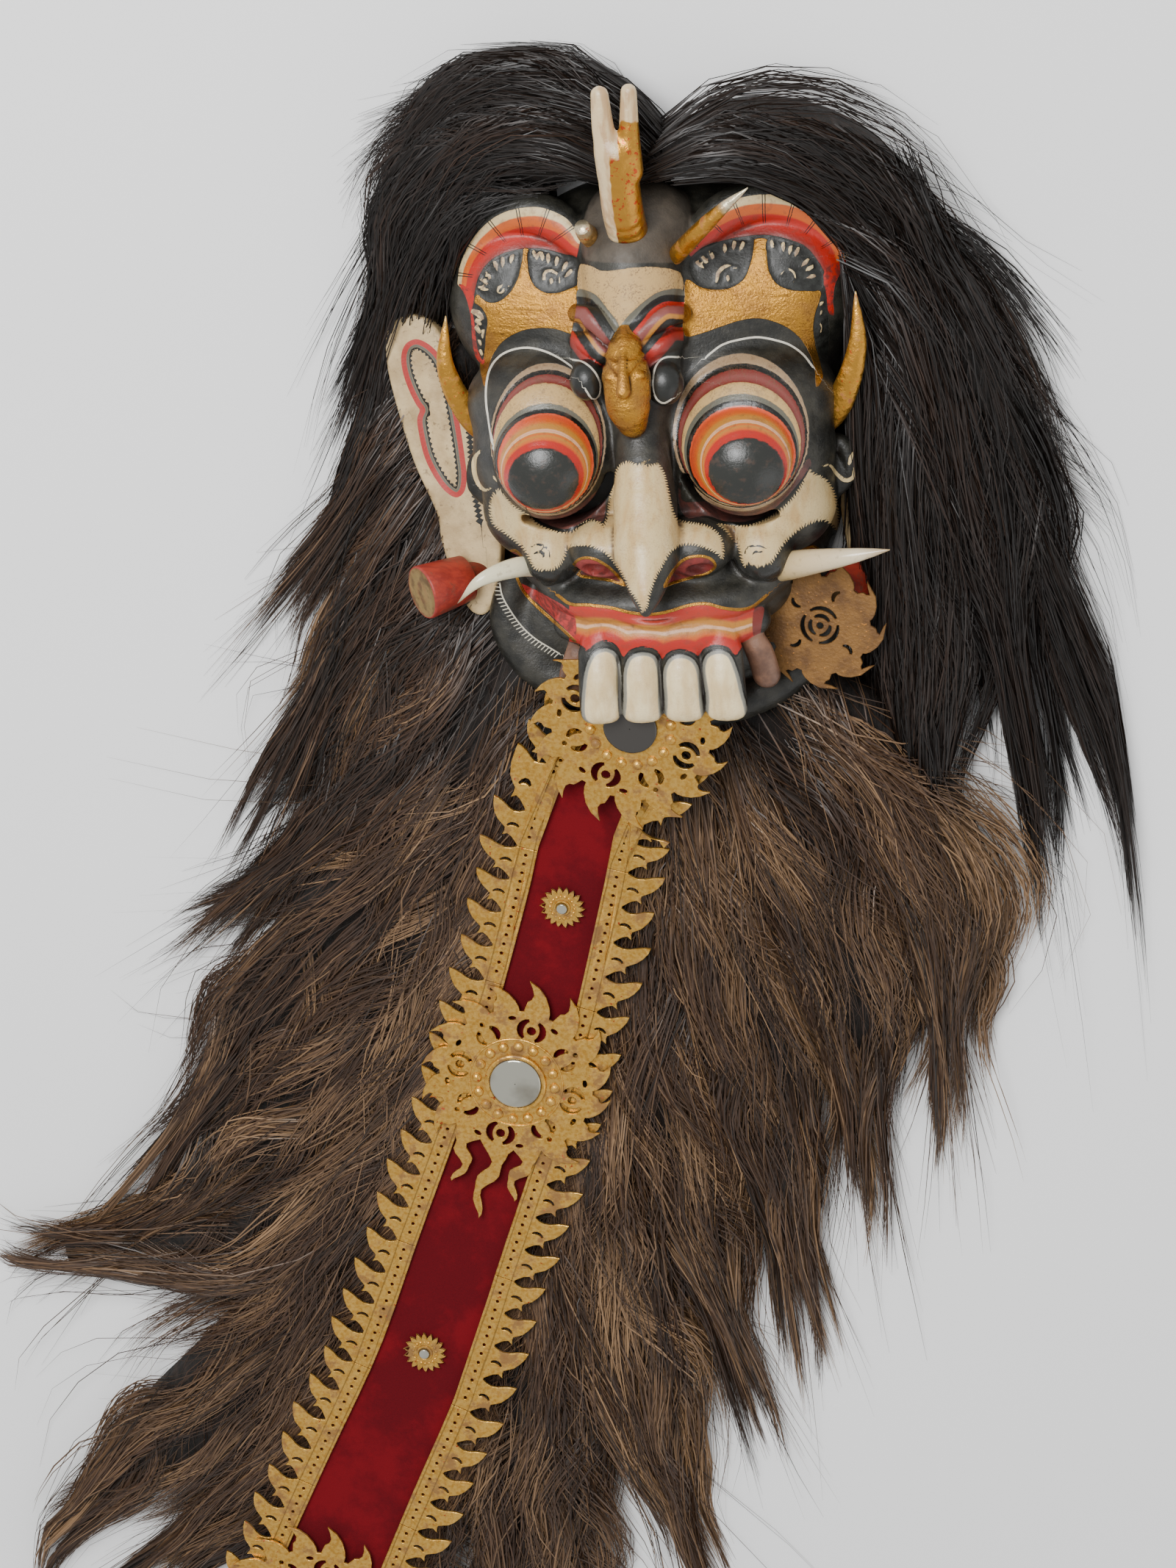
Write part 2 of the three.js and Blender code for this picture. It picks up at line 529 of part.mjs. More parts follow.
function lock({ points, wide }, grow) {
  const half = (t) => blend(wide, t) * K;
  const height = (t) => blend(points.map((point) => point[2]), t) * K;
  const curve = path(points.map(([x, y, z]) => [x, y, z * 0.4]));
  return rod(curve, (t) => [half(t) + grow, height(t) * 0.6 + grow], 5, 3, grow);
}

// The hair starts outside the carved face
const HAIRLINE = [[0, 166], [-46, 164], [-88, 156], [-116, 132], [-127, 96], [-122, 40], [-124, -12],
  [-116, -70], [-121, -110], [-100, -152], [-52, -182], [0, -186], [52, -182], [100, -152], [119, -110],
  [113, -70], [120, -12], [122, 40], [127, 96], [116, 134], [88, 157], [46, 164]];

function hairlineBlock() {
  return solid(flat(outline(HAIRLINE, 3 * K), DEEP));
}

const bundle = (locks, grow) => join(locks.map((one) => lock(one, grow)));

// Materials
const paint = (color, roughness, metalness = 0) => new THREE.MeshStandardMaterial({ color, roughness, metalness });
const materials = {
  painted: paint(0x8d8471, 0.55),
  bone: paint(0xe6dcc0, 0.45),
  gilt: paint(0xc9962f, 0.35, 0.8),
  red: paint(0x9c3328, 0.6),
  velvet: paint(0x6d0b14, 0.95),
  leather: paint(0xc7a24a, 0.4, 0.7),
  glass: paint(0xc4c4b8, 0.1, 0.9),
  hair: paint(0x3a2a22, 0.7),
};

// Assembly
const ground = below(0);
const faceCutter = faceForms(CLEARANCE);
const hornCutters = Object.values(HORNS).map((one) => horn(one, CLEARANCE));
const plugCutters = Object.values(PLUG_PLACES).map((one) => plug(one, CLEARANCE));

const mask = new THREE.Group();
const add = (name, whole, material) => mask.add(meshOf(name, whole, materials[material]));

add('mask', cut(faceForms(0), hollow(), ground, ...EYES.map(eyeSlit), ...hornCutters), 'painted');
for (const [name, one] of Object.entries(HORNS)) {
  const whole = horn(one, 0);
  add(name, name === 'horn_centre' ? whole.subtract(hornSplit()) : whole, one.material);
}
for (const [name, side] of [['ear_left', -1], ['ear_right', 1]]) {
  add(name, cut(ear(side, 0), faceCutter, ground, ...hornCutters, ...plugCutters), 'bone');
}
for (const [name, one] of Object.entries(PLUG_PLACES)) add(name, cut(plug(one, 0), faceCutter), 'red');
add('ear_rosette', cut(earRosette(), faceCutter, ...plugCutters), 'leather');

add('tongue', cut(tongue(), faceCutter), 'velvet');
for (const [name, side] of [['left', -1], ['right', 1]]) {
  for (let i = 0; i < BORDER_LENGTHS; i += 1) add(`border_${name}_${i + 1}`, cut(border(side, i), faceCutter), 'leather');
}
for (const [name, one] of Object.entries(ROSETTES)) {
  add(`rosette_${name}`, cut(rosette(one), underTeeth(), faceCutter), 'leather');
  const glass = mirror(one.along, ROSETTE_RADIUS, MIRROR_RADIUS - CLEARANCE, one.lift + LEATHER + CLEARANCE);
  add(`mirror_${name}`, glass, 'glass');
}
for (const [name, one] of Object.entries(FLOWERS)) {
  add(`flower_${name}`, flower(one), 'leather');
  const glass = mirror(one.along, FLOWER_RADIUS, FLOWER_MIRROR_RADIUS, BORDER_LIFT + LEATHER + CLEARANCE);
  add(`flower_mirror_${name}`, glass, 'glass');
}

// The left ear lies open on its hair; hair falls over the right one
const earBeds = [ear(-1, CLEARANCE, DEEP / 4), ear(1, CLEARANCE)];
const around = [ground, hairlineBlock(), tongueBed(), ...earBeds, ...hornCutters, ...plugCutters];
const laid = [];
for (const [name, locks] of Object.entries(HAIR)) {
  add(name, cut(bundle(locks, 0), ...around, ...laid), 'hair');
  laid.push(bundle(locks, HAIR_GAP));
}

// The origin is on the ground under the middle of the whole
const box = new THREE.Box3().setFromObject(mask);
const middle = box.getCenter(new THREE.Vector3());
mask.position.set(-middle.x, -middle.y, -box.min.z);

export default mask;
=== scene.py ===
# A carved and painted dance mask with its wig and its long velvet tongue, lying face up.
# Lengths are millimetres in the drawing frame of the mask until `metres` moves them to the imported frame.
import json
import math

import bpy
import numpy as np
from mathutils import Matrix, Vector


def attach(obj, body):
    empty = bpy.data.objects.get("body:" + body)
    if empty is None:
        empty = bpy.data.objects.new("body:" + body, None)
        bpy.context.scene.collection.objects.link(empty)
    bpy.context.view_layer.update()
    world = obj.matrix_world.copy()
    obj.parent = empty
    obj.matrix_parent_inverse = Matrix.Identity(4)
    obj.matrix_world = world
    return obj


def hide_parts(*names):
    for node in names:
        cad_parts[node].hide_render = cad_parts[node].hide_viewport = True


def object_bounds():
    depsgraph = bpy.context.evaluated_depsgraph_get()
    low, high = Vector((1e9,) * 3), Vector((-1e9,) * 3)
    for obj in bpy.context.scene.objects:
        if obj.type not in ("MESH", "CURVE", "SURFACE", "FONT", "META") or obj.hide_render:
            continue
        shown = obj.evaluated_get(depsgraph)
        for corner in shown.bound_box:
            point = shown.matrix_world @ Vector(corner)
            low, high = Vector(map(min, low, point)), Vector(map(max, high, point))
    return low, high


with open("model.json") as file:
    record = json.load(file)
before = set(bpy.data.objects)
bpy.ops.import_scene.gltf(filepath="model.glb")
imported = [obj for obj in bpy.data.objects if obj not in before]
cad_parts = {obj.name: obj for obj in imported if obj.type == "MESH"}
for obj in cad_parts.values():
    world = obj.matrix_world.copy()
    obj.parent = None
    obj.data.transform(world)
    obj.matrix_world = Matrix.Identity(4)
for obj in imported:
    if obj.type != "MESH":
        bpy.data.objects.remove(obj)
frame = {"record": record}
CAD_BOX = [[float(x) for x in corner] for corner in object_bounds()]
rng = np.random.default_rng(11)

RIM = frame["record"]["mounts"][0]["pos_m"]
RIM_ABOVE_MIDDLE = 0.137  # metres from the middle of the drawing up to the mount on the rim
SHIFT = np.array([RIM[0], RIM[1] - RIM_ABOVE_MIDDLE, 0.0])


def metres(points):
    """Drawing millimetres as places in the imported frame."""
    return np.asarray(points, float) / 1000 + SHIFT


# Camera
TO_CAMERA = np.array([0.16538751, 0.30476142, 0.93795919])
CAMERA_UP = np.array([0.0227882, 0.94962168, -0.31256896])
CAMERA_RIGHT = np.array([0.98596535, -0.07306941, -0.1501106])
AIM = np.array([-68.95, -229.34, 0.0])
DISTANCE = 2400.0
VIEW_WIDTH, VIEW_HEIGHT = 1600, 2134
FOCAL = 5106.4  # in steps of the view
SENSOR = 36
EYE_POINT = AIM + TO_CAMERA * DISTANCE

camera_data = bpy.data.cameras.new("camera")
camera_data.sensor_fit = "VERTICAL"
camera_data.sensor_height = SENSOR
camera_data.lens = SENSOR * FOCAL / VIEW_HEIGHT
camera = bpy.data.objects.new("camera", camera_data)
bpy.context.scene.collection.objects.link(camera)
turn = Matrix([list(row) for row in np.stack([CAMERA_RIGHT, CAMERA_UP, TO_CAMERA], 1)])
camera.matrix_world = Matrix.Translation(metres(EYE_POINT).tolist()) @ turn.to_4x4()
bpy.context.scene.camera = camera


def on(px, py, z):
    """The point at height z under a point of the 1600 by 2134 view."""
    right, up = px - VIEW_WIDTH / 2, VIEW_HEIGHT / 2 - py
    ray = -TO_CAMERA + CAMERA_RIGHT * right / FOCAL + CAMERA_UP * up / FOCAL
    return EYE_POINT + ray * (z - EYE_POINT[2]) / ray[2]


def seen(points):
    """Where the points lie in the view."""
    v = points - EYE_POINT
    depth = -(v @ TO_CAMERA)
    return np.stack([VIEW_WIDTH / 2 + FOCAL * (v @ CAMERA_RIGHT) / depth,
                     VIEW_HEIGHT / 2 - FOCAL * (v @ CAMERA_UP) / depth], 1)


# Curves
def smooth(points, per=8, closed=False):
    """A line through the points, rounded between them."""
    p = np.asarray(points, float)
    if closed:
        p = np.vstack([p[-1:], p, p[:2]])
    else:
        p = np.vstack([2 * p[0] - p[1], p, 2 * p[-1] - p[-2]])
    rows = []
    for i in range(1, len(p) - 2):
        a, b, c, d = p[i - 1], p[i], p[i + 1], p[i + 2]
        ta = 0.0
        tb = ta + max(np.linalg.norm(b - a), 1e-6) ** 0.5
        tc = tb + max(np.linalg.norm(c - b), 1e-6) ** 0.5
        td = tc + max(np.linalg.norm(d - c), 1e-6) ** 0.5
        t = np.linspace(tb, tc, per, endpoint=False)[:, None]
        ab = (tb - t) / (tb - ta) * a + (t - ta) / (tb - ta) * b
        bc = (tc - t) / (tc - tb) * b + (t - tb) / (tc - tb) * c
        cd = (td - t) / (td - tc) * c + (t - tc) / (td - tc) * d
        abc = (tc - t) / (tc - ta) * ab + (t - ta) / (tc - ta) * bc
        bcd = (td - t) / (td - tb) * bc + (t - tb) / (td - tb) * cd
        rows.append((tc - t) / (tc - tb) * abc + (t - tb) / (tc - tb) * bcd)
    line = np.vstack(rows)
    return line if closed else np.vstack([line, p[-2]])


def spread(line, count):
    """The line as points at equal steps."""
    step = np.r_[0, np.cumsum(np.linalg.norm(np.diff(line, axis=0), axis=1))]
    at = np.linspace(0, step[-1], count)
    return np.stack([np.interp(at, step, line[:, k]) for k in range(line.shape[1])], 1)


def nearest(q, line, closed):
    """Distance to a flat line with the side as its sign, and how far along it is."""
    a = line
    b = np.roll(line, -1, 0) if closed else line[1:]
    a = a if closed else line[:-1]
    best = np.full(len(q), 1e9)
    side = np.ones(len(q))
    along = np.zeros(len(q))
    start = 0.0
    for p0, p1 in zip(a, b):
        edge = p1 - p0
        length = max(np.linalg.norm(edge), 1e-9)
        rel = q - p0
        h = np.clip((rel @ edge) / length**2, 0, 1)
        off = rel - h[:, None] * edge
        d = np.hypot(off[:, 0], off[:, 1])
        new = d < best - 1e-9
        best = np.where(new, d, best)
        cross = edge[0] * rel[:, 1] - edge[1] * rel[:, 0]
        side = np.where(new, np.sign(cross), side)
        along = np.where(new, start + h * length, along)
        start += length
    return best, side, along


def profile(values, t):
    """Values spread evenly from 0 to 1, read at t."""
    return np.interp(t, np.linspace(0, 1, len(values)), values)


def unit(vectors, least=0.0):
    """Each vector at length 1."""
    return vectors / np.maximum(np.linalg.norm(vectors, axis=-1), least)[..., None]


def full_turn(count):
    return np.linspace(0, 2 * math.pi, count, endpoint=False)


def triangles(quads):
    q = np.asarray(quads)
    return np.vstack([q[:, [0, 1, 2]], q[:, [0, 2, 3]]])


def grid_quads(rows, columns, around=True, closed=False, flip=False):
    """Quads of a grid of points, row by row; around joins the last column to the first, closed the rows."""
    i, j = np.meshgrid(np.arange(rows - (not closed)), np.arange(columns - (not around)), indexing="ij")
    next_i, next_j = (i + 1) % rows, (j + 1) % columns
    corners = [i * columns + j, next_i * columns + j, next_i * columns + next_j, i * columns + next_j]
    if flip:
        corners = [corners[k] for k in (0, 3, 2, 1)]
    return np.stack(corners, -1).reshape(-1, 4)


def capped(rings, line):
    """A tube from its rings of points, closed by a fan at each end of its middle line."""
    steps, sides = rings.shape[:2]
    verts = np.vstack([rings.reshape(-1, 3), line[:1], line[-1:]])
    a = np.arange(sides)
    b = (a + 1) % sides
    first = np.stack([np.full(sides, len(verts) - 2), a, b], 1)
    last = np.stack([np.full(sides, len(verts) - 1), (steps - 1) * sides + b, (steps - 1) * sides + a], 1)
    return verts, np.vstack([triangles(grid_quads(steps, sides)), first, last])


def inside(q, line):
    """Which flat points lie in a closed line."""
    x, y = q[:, 0], q[:, 1]
    within = np.zeros(len(q), bool)
    for (x0, y0), (x1, y1) in zip(line, np.roll(line, -1, 0)):
        if y0 == y1:
            continue
        crosses = (y0 > y) != (y1 > y)
        within ^= crosses & (x < (x1 - x0) * (y - y0) / (y1 - y0) + x0)
    return within


# Carved solids as distance fields
def ball(centre, radii):
    """An ellipsoid: its distance function and the corners of its box."""
    c, r = np.array(centre, float), np.array(radii, float)

    def distance(p):
        q = (p - c) / r
        k0 = np.sqrt((q * q).sum(-1))
        k1 = np.sqrt(((q / r) ** 2).sum(-1))
        return k0 * (k0 - 1) / np.maximum(k1, 1e-9)

    return distance, c - r, c + r


def rod(points, radii, flat=1.0, per=5):
    """A round or flattened rod along a rounded line, its radii spread evenly."""
    line = smooth(points, per)
    reach = profile(radii, np.linspace(0, 1, len(line)))

    def distance(p):
        best = np.full(p.shape[:-1], 1e9)
        for i in range(len(line) - 1):
            edge = line[i + 1] - line[i]
            rel = p - line[i]
            h = np.clip((rel @ edge) / (edge @ edge), 0, 1)
            off = rel - h[..., None] * edge
            off[..., 2] /= flat
            best = np.minimum(best, np.sqrt((off * off).sum(-1)) - (reach[i] + (reach[i + 1] - reach[i]) * h))
        return best * min(flat, 1.0)

    wide = reach.max() * max(flat, 1)
    return distance, line.min(0) - wide, line.max(0) + wide


def plank(outline, middle, half, tilt, edge=3.0):
    """An outline in x and y with thickness, tilted about y, with rounded edges."""
    line = smooth(outline, 5, True)
    c, s = math.cos(tilt), math.sin(tilt)

    def distance(p):
        rel = p - middle
        q = np.stack([rel[..., 0] * c - rel[..., 2] * s, rel[..., 1], rel[..., 0] * s + rel[..., 2] * c], -1)
        flatq = (q[..., :2] + np.array(middle)[:2]).reshape(-1, 2)
        d, _, _ = nearest(flatq, line, True)
        d = np.where(inside(flatq, line), -d, d).reshape(p.shape[:-1]) + edge
        h = np.abs(q[..., 2]) - half + edge
        return np.minimum(np.maximum(d, h), 0) + np.hypot(np.maximum(d, 0), np.maximum(h, 0)) - edge

    low = np.r_[line.min(0), middle[2] - half - 20]
    high = np.r_[line.max(0), middle[2] + half + 20]
    return distance, low, high


def endless(distance):
    """A form that reaches over the whole mask."""
    return distance, np.array([-400.0] * 3), np.array([400.0] * 3)


def soft_min(a, b, k):
    """The smaller of two distances, blended over k."""
    if k <= 0:
        return np.minimum(a, b)
    h = np.maximum(k - np.abs(a - b), 0) / k
    return np.minimum(a, b) - h * h * k / 4


REACH = 14.0  # beyond this from a form the field isn't worked out


def apply_form(field, points, form, k, cut):
    """Adds a form to the field, or cuts it out."""
    value = form[0](points)
    return -soft_min(-field, value, k) if cut else soft_min(field, value, k)


def field_at(points, forms):
    """The distance from each point to the joined forms, at most REACH."""
    value = np.full(len(points), REACH)
    for form, k, cut in forms:
        near = ((points > form[1] - REACH) & (points < form[2] + REACH)).all(1)
        if near.any():
            value[near] = apply_form(value[near], points[near], form, k, cut)
    return value


def surface(forms, low, high, cell):
    """The zero level of the forms as quads, with vertex places and normals."""
    low = np.array(low, float)
    count = np.ceil((np.array(high, float) - low) / cell).astype(int) + 1
    axes = [low[k] + cell * np.arange(count[k]) for k in range(3)]
    value = np.full(count, REACH, np.float32)
    for form, k, cut in forms:
        spans = []
        for axis in range(3):
            a = np.searchsorted(axes[axis], form[1][axis] - REACH)
            b = np.searchsorted(axes[axis], form[2][axis] + REACH)
            spans.append(slice(a, b))
        grids = np.meshgrid(*[axes[i][spans[i]] for i in range(3)], indexing="ij")
        if grids[0].size == 0:
            continue
        part = np.stack(grids, -1)
        value[tuple(spans)] = apply_form(value[tuple(spans)], part, form, k, cut)
    full = value < 0
    corners = [(i, j, k) for i in (0, 1) for j in (0, 1) for k in (0, 1)]
    n = count - 1
    part = lambda a, o: a[o[0] : o[0] + n[0], o[1] : o[1] + n[1], o[2] : o[2] + n[2]]
    some = np.zeros(n, bool)
    every = np.ones(n, bool)
    for o in corners:
        some |= part(full, o)
        every &= part(full, o)
    mixed = some & ~every
    cells = np.argwhere(mixed)
    total = np.zeros((len(cells), 3))
    hits = np.zeros(len(cells))
    for o in corners:
        for axis in range(3):
            if o[axis]:
                continue
            e = list(o)
            e[axis] = 1
            v0 = value[cells[:, 0] + o[0], cells[:, 1] + o[1], cells[:, 2] + o[2]]
            v1 = value[cells[:, 0] + e[0], cells[:, 1] + e[1], cells[:, 2] + e[2]]
            crosses = (v0 < 0) != (v1 < 0)
            t = np.where(crosses, v0 / np.where(v0 == v1, 1, v0 - v1), 0)
            place = np.tile(np.array(o, float), (len(cells), 1))
            place[:, axis] = t
            total += place * crosses[:, None]
            hits += crosses
    points = low + cell * (cells + total / hits[:, None])
    number = np.full(n, -1)
    number[mixed] = np.arange(len(cells))
    quads = []
    for axis in range(3):
        u, v = (axis + 1) % 3, (axis + 2) % 3
        a = full[tuple(slice(0, -1) if k == axis else slice(1, -1) for k in range(3))]
        b = full[tuple(slice(1, None) if k == axis else slice(1, -1) for k in range(3))]
        for mask, flip in ((a & ~b, False), (~a & b, True)):
            c = np.argwhere(mask)
            c[:, u] += 1
            c[:, v] += 1
            ids = []
            for du, dv in ((-1, -1), (0, -1), (0, 0), (-1, 0)):
                g = c.copy()
                g[:, u] += du
                g[:, v] += dv
                ids.append(number[g[:, 0], g[:, 1], g[:, 2]])
            q = np.stack(ids, 1)
            quads.append(q[:, ::-1] if flip else q)
    quads = np.vstack(quads)
    quads = quads[(quads >= 0).all(1)]
    slope = np.stack([g[cells[:, 0], cells[:, 1], cells[:, 2]] for g in np.gradient(value)], 1)
    normals = unit(slope, 1e-9)
    for _ in range(2):
        gap = np.clip(field_at(points, forms), -0.6 * cell, 0.6 * cell)
        points = points - normals * gap[:, None] * 0.9
    return points, quads, normals


def mesh_piece(name, points, faces, nodes=(), attributes=None, material=None, flat=False):
    """A mesh object from arrays, riding on the root body."""
    data = bpy.data.meshes.new(name)
    places = metres(points).astype(np.float32)
    faces = np.asarray(faces, np.int32)
    size = faces.shape[1]
    data.vertices.add(len(places))
    data.vertices.foreach_set("co", places.ravel())
    data.loops.add(faces.size)
    data.loops.foreach_set("vertex_index", faces.ravel())
    data.polygons.add(len(faces))
    data.polygons.foreach_set("loop_start", np.arange(len(faces), dtype=np.int32) * size)
    data.polygons.foreach_set("use_smooth", np.full(len(faces), not flat))
    data.update(calc_edges=True)
    data.validate()
    for key, values in (attributes or {}).items():
        values = np.asarray(values, np.float32)
        if values.ndim == 1:
            data.attributes.new(key, "FLOAT", "POINT").data.foreach_set("value", values)
        else:
            data.attributes.new(key, "FLOAT_VECTOR", "POINT").data.foreach_set("vector", values.ravel())
    return adopt(bpy.data.objects.new(name, data), nodes, material)


def adopt(piece, nodes=(), material=None):
    """Gives a piece its look and its body, and hides the imported parts of the nodes it stands for."""
    if piece.name not in bpy.context.scene.collection.objects:
        bpy.context.scene.collection.objects.link(piece)
    if material is not None:
        piece.data.materials.clear()
        piece.data.materials.append(material)
    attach(piece, "root")
    if nodes:
        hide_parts(*nodes)
    return piece


# Materials as chains of shader nodes
class Shader:
    def __init__(self, name):
        self.material = bpy.data.materials.new(name)
        self.material.use_nodes = True
        self.tree = self.material.node_tree
        self.bsdf = self.tree.nodes["Principled BSDF"]
        self.place = self.node("ShaderNodeTexCoord").outputs["Object"]

    def node(self, kind, **values):
        made = self.tree.nodes.new(kind)
        for key, value in values.items():
            setattr(made, key, value)
        return made

    def put(self, value, socket):
        if isinstance(value, bpy.types.NodeSocket):
            self.tree.links.new(value, socket)
        elif hasattr(socket.default_value, "__len__") and not hasattr(value, "__len__"):
            socket.default_value = [value] * len(socket.default_value)
        elif hasattr(socket.default_value, "__len__") and len(socket.default_value) == 4 and len(value) == 3:
            socket.default_value = (*value, 1)
        else:
            socket.default_value = value

    def math(self, operation, a, b=0.0, c=None, clamp=False):
        made = self.node("ShaderNodeMath", operation=operation, use_clamp=clamp)
        self.put(a, made.inputs[0])
        self.put(b, made.inputs[1])
        if c is not None:
            self.put(c, made.inputs[2])
        return made.outputs[0]

    def times(self, a, b):
        return self.math("MULTIPLY", a, b)

    def plus(self, a, b, clamp=False):
        return self.math("ADD", a, b, clamp=clamp)

    def minus(self, a, b):
        return self.math("SUBTRACT", a, b)

    def over(self, a, b):
        return self.math("DIVIDE", a, b)

    def most(self, a, b):
        return self.math("MAXIMUM", a, b)

    def size(self, a):
        return self.math("ABSOLUTE", a)

    def shake(self, by, *grain, **more):
        """Noise about 0, as strong as by."""
        return self.times(self.minus(self.noise(*grain, **more), 0.5), by)

    def mix(self, fac, a, b, blend="MIX"):
        made = self.node("ShaderNodeMix", data_type="RGBA", blend_type=blend)
        self.put(fac, made.inputs[0])
        self.put(a, made.inputs[6])
        self.put(b, made.inputs[7])
        return made.outputs[2]

    def span(self, value, low, high, to_low=0.0, to_high=1.0, kind="SMOOTHSTEP"):
        made = self.node("ShaderNodeMapRange", interpolation_type=kind)
        self.put(value, made.inputs[0])
        self.put(low, made.inputs[1])
        self.put(high, made.inputs[2])
        self.put(to_low, made.inputs[3])
        self.put(to_high, made.inputs[4])
        return made.outputs[0]

    def attribute(self, name):
        return self.node("ShaderNodeAttribute", attribute_name=name)

    def parts(self, vector):
        made = self.node("ShaderNodeSeparateXYZ")
        self.put(vector, made.inputs[0])
        return made.outputs

    def noise(self, scale, detail=3.0, rough=0.55, vector=None, stretch=None, lift=0.0):
        """Noise whose grain is `scale` per metre."""
        source = vector or self.place
        if stretch is not None:
            moved = self.node("ShaderNodeVectorMath", operation="MULTIPLY")
            self.put(source, moved.inputs[0])
            self.put(stretch, moved.inputs[1])
            source = moved.outputs[0]
        made = self.node("ShaderNodeTexNoise")
        self.put(source, made.inputs["Vector"])
        made.inputs["Scale"].default_value = scale
        made.inputs["Detail"].default_value = detail
        made.inputs["Roughness"].default_value = rough
        made.inputs["Distortion"].default_value = lift
        return made.outputs["Fac"]

    def cells(self, scale, feature="F1", output="Distance"):
        made = self.node("ShaderNodeTexVoronoi", feature=feature)
        self.put(self.place, made.inputs["Vector"])
        made.inputs["Scale"].default_value = scale
        return made.outputs[output]

    def ramp(self, value, stops, kind="LINEAR"):
        made = self.node("ShaderNodeValToRGB")
        made.color_ramp.interpolation = kind
        while len(made.color_ramp.elements) < len(stops):
            made.color_ramp.elements.new(0.5)
        for element, (place, colour) in zip(made.color_ramp.elements, stops):
            element.position = place
            element.color = (*colour, 1)
        self.put(value, made.inputs[0])
        return made.outputs[0]

    def bump(self, height, strength, distance=0.0006, normal=None):
        made = self.node("ShaderNodeBump")
        self.put(height, made.inputs["Height"])
        made.inputs["Strength"].default_value = strength
        made.inputs["Distance"].default_value = distance
        if normal is not None:
            self.put(normal, made.inputs["Normal"])
        return made.outputs[0]

    def finish(self, colour, rough, metal=0.0, normal=None, **extra):
        self.put(colour, self.bsdf.inputs["Base Color"])
        self.put(rough, self.bsdf.inputs["Roughness"])
        self.put(metal, self.bsdf.inputs["Metallic"])
        if normal is not None:
            self.put(normal, self.bsdf.inputs["Normal"])
        for key, value in extra.items():
            self.put(value, self.bsdf.inputs[key.replace("_", " ")])
        return self.material


BLACK = (0.009, 0.009, 0.007)
SLATE = (0.020, 0.021, 0.018)
CREAM = (0.54, 0.345, 0.135)
PALE = (0.66, 0.50, 0.25)
RED = (0.44, 0.018, 0.010)
DARK_RED = (0.17, 0.022, 0.016)
MAUVE = (0.22, 0.06, 0.05)
ORANGE = (0.56, 0.105, 0.014)
OCHRE = (0.46, 0.19, 0.028)
GREY = (0.12, 0.115, 0.085)
GOLD = (0.52, 0.25, 0.035)
WOOD = (0.30, 0.19, 0.10)


# The carved mask: forms
def spots(sheet, points, z):
    """Drawing-sheet points as places at height z; z may be one height for each point."""
    z = z if hasattr(z, "__len__") else [z] * len(points)
    return [on(*sheet(x, y), h) for (x, y), h in zip(points, z)]


def sheet(x0, y0, scale):
    return lambda x, y: (x0 + x / scale, y0 + y / scale)


TOP_LEFT = sheet(560, 230, 3.564)
TOP_RIGHT = sheet(900, 230, 3.564)
EYE_LEFT = sheet(500, 380, 3.2675)
EYE_RIGHT = sheet(860, 380, 3.2675)
MOUTH = sheet(580, 700, 2.3758)

SKULL = ball([0, -2, 0], [111, 150, 88])
BROW = ball([0, 70, 12], [112, 92, 68])
HOLLOW = [ball([0, -2, 0], [97, 136, 74]), ball([0, 70, 12], [98, 78, 54])]
EYES = [(-61.5, 3.7), (56.5, 1.5)]
SLIT_RADIUS = 37.5  # from the middle of an eye to its slit
SLIT_HALF = 3.6
SLIT_FLOOR = 20

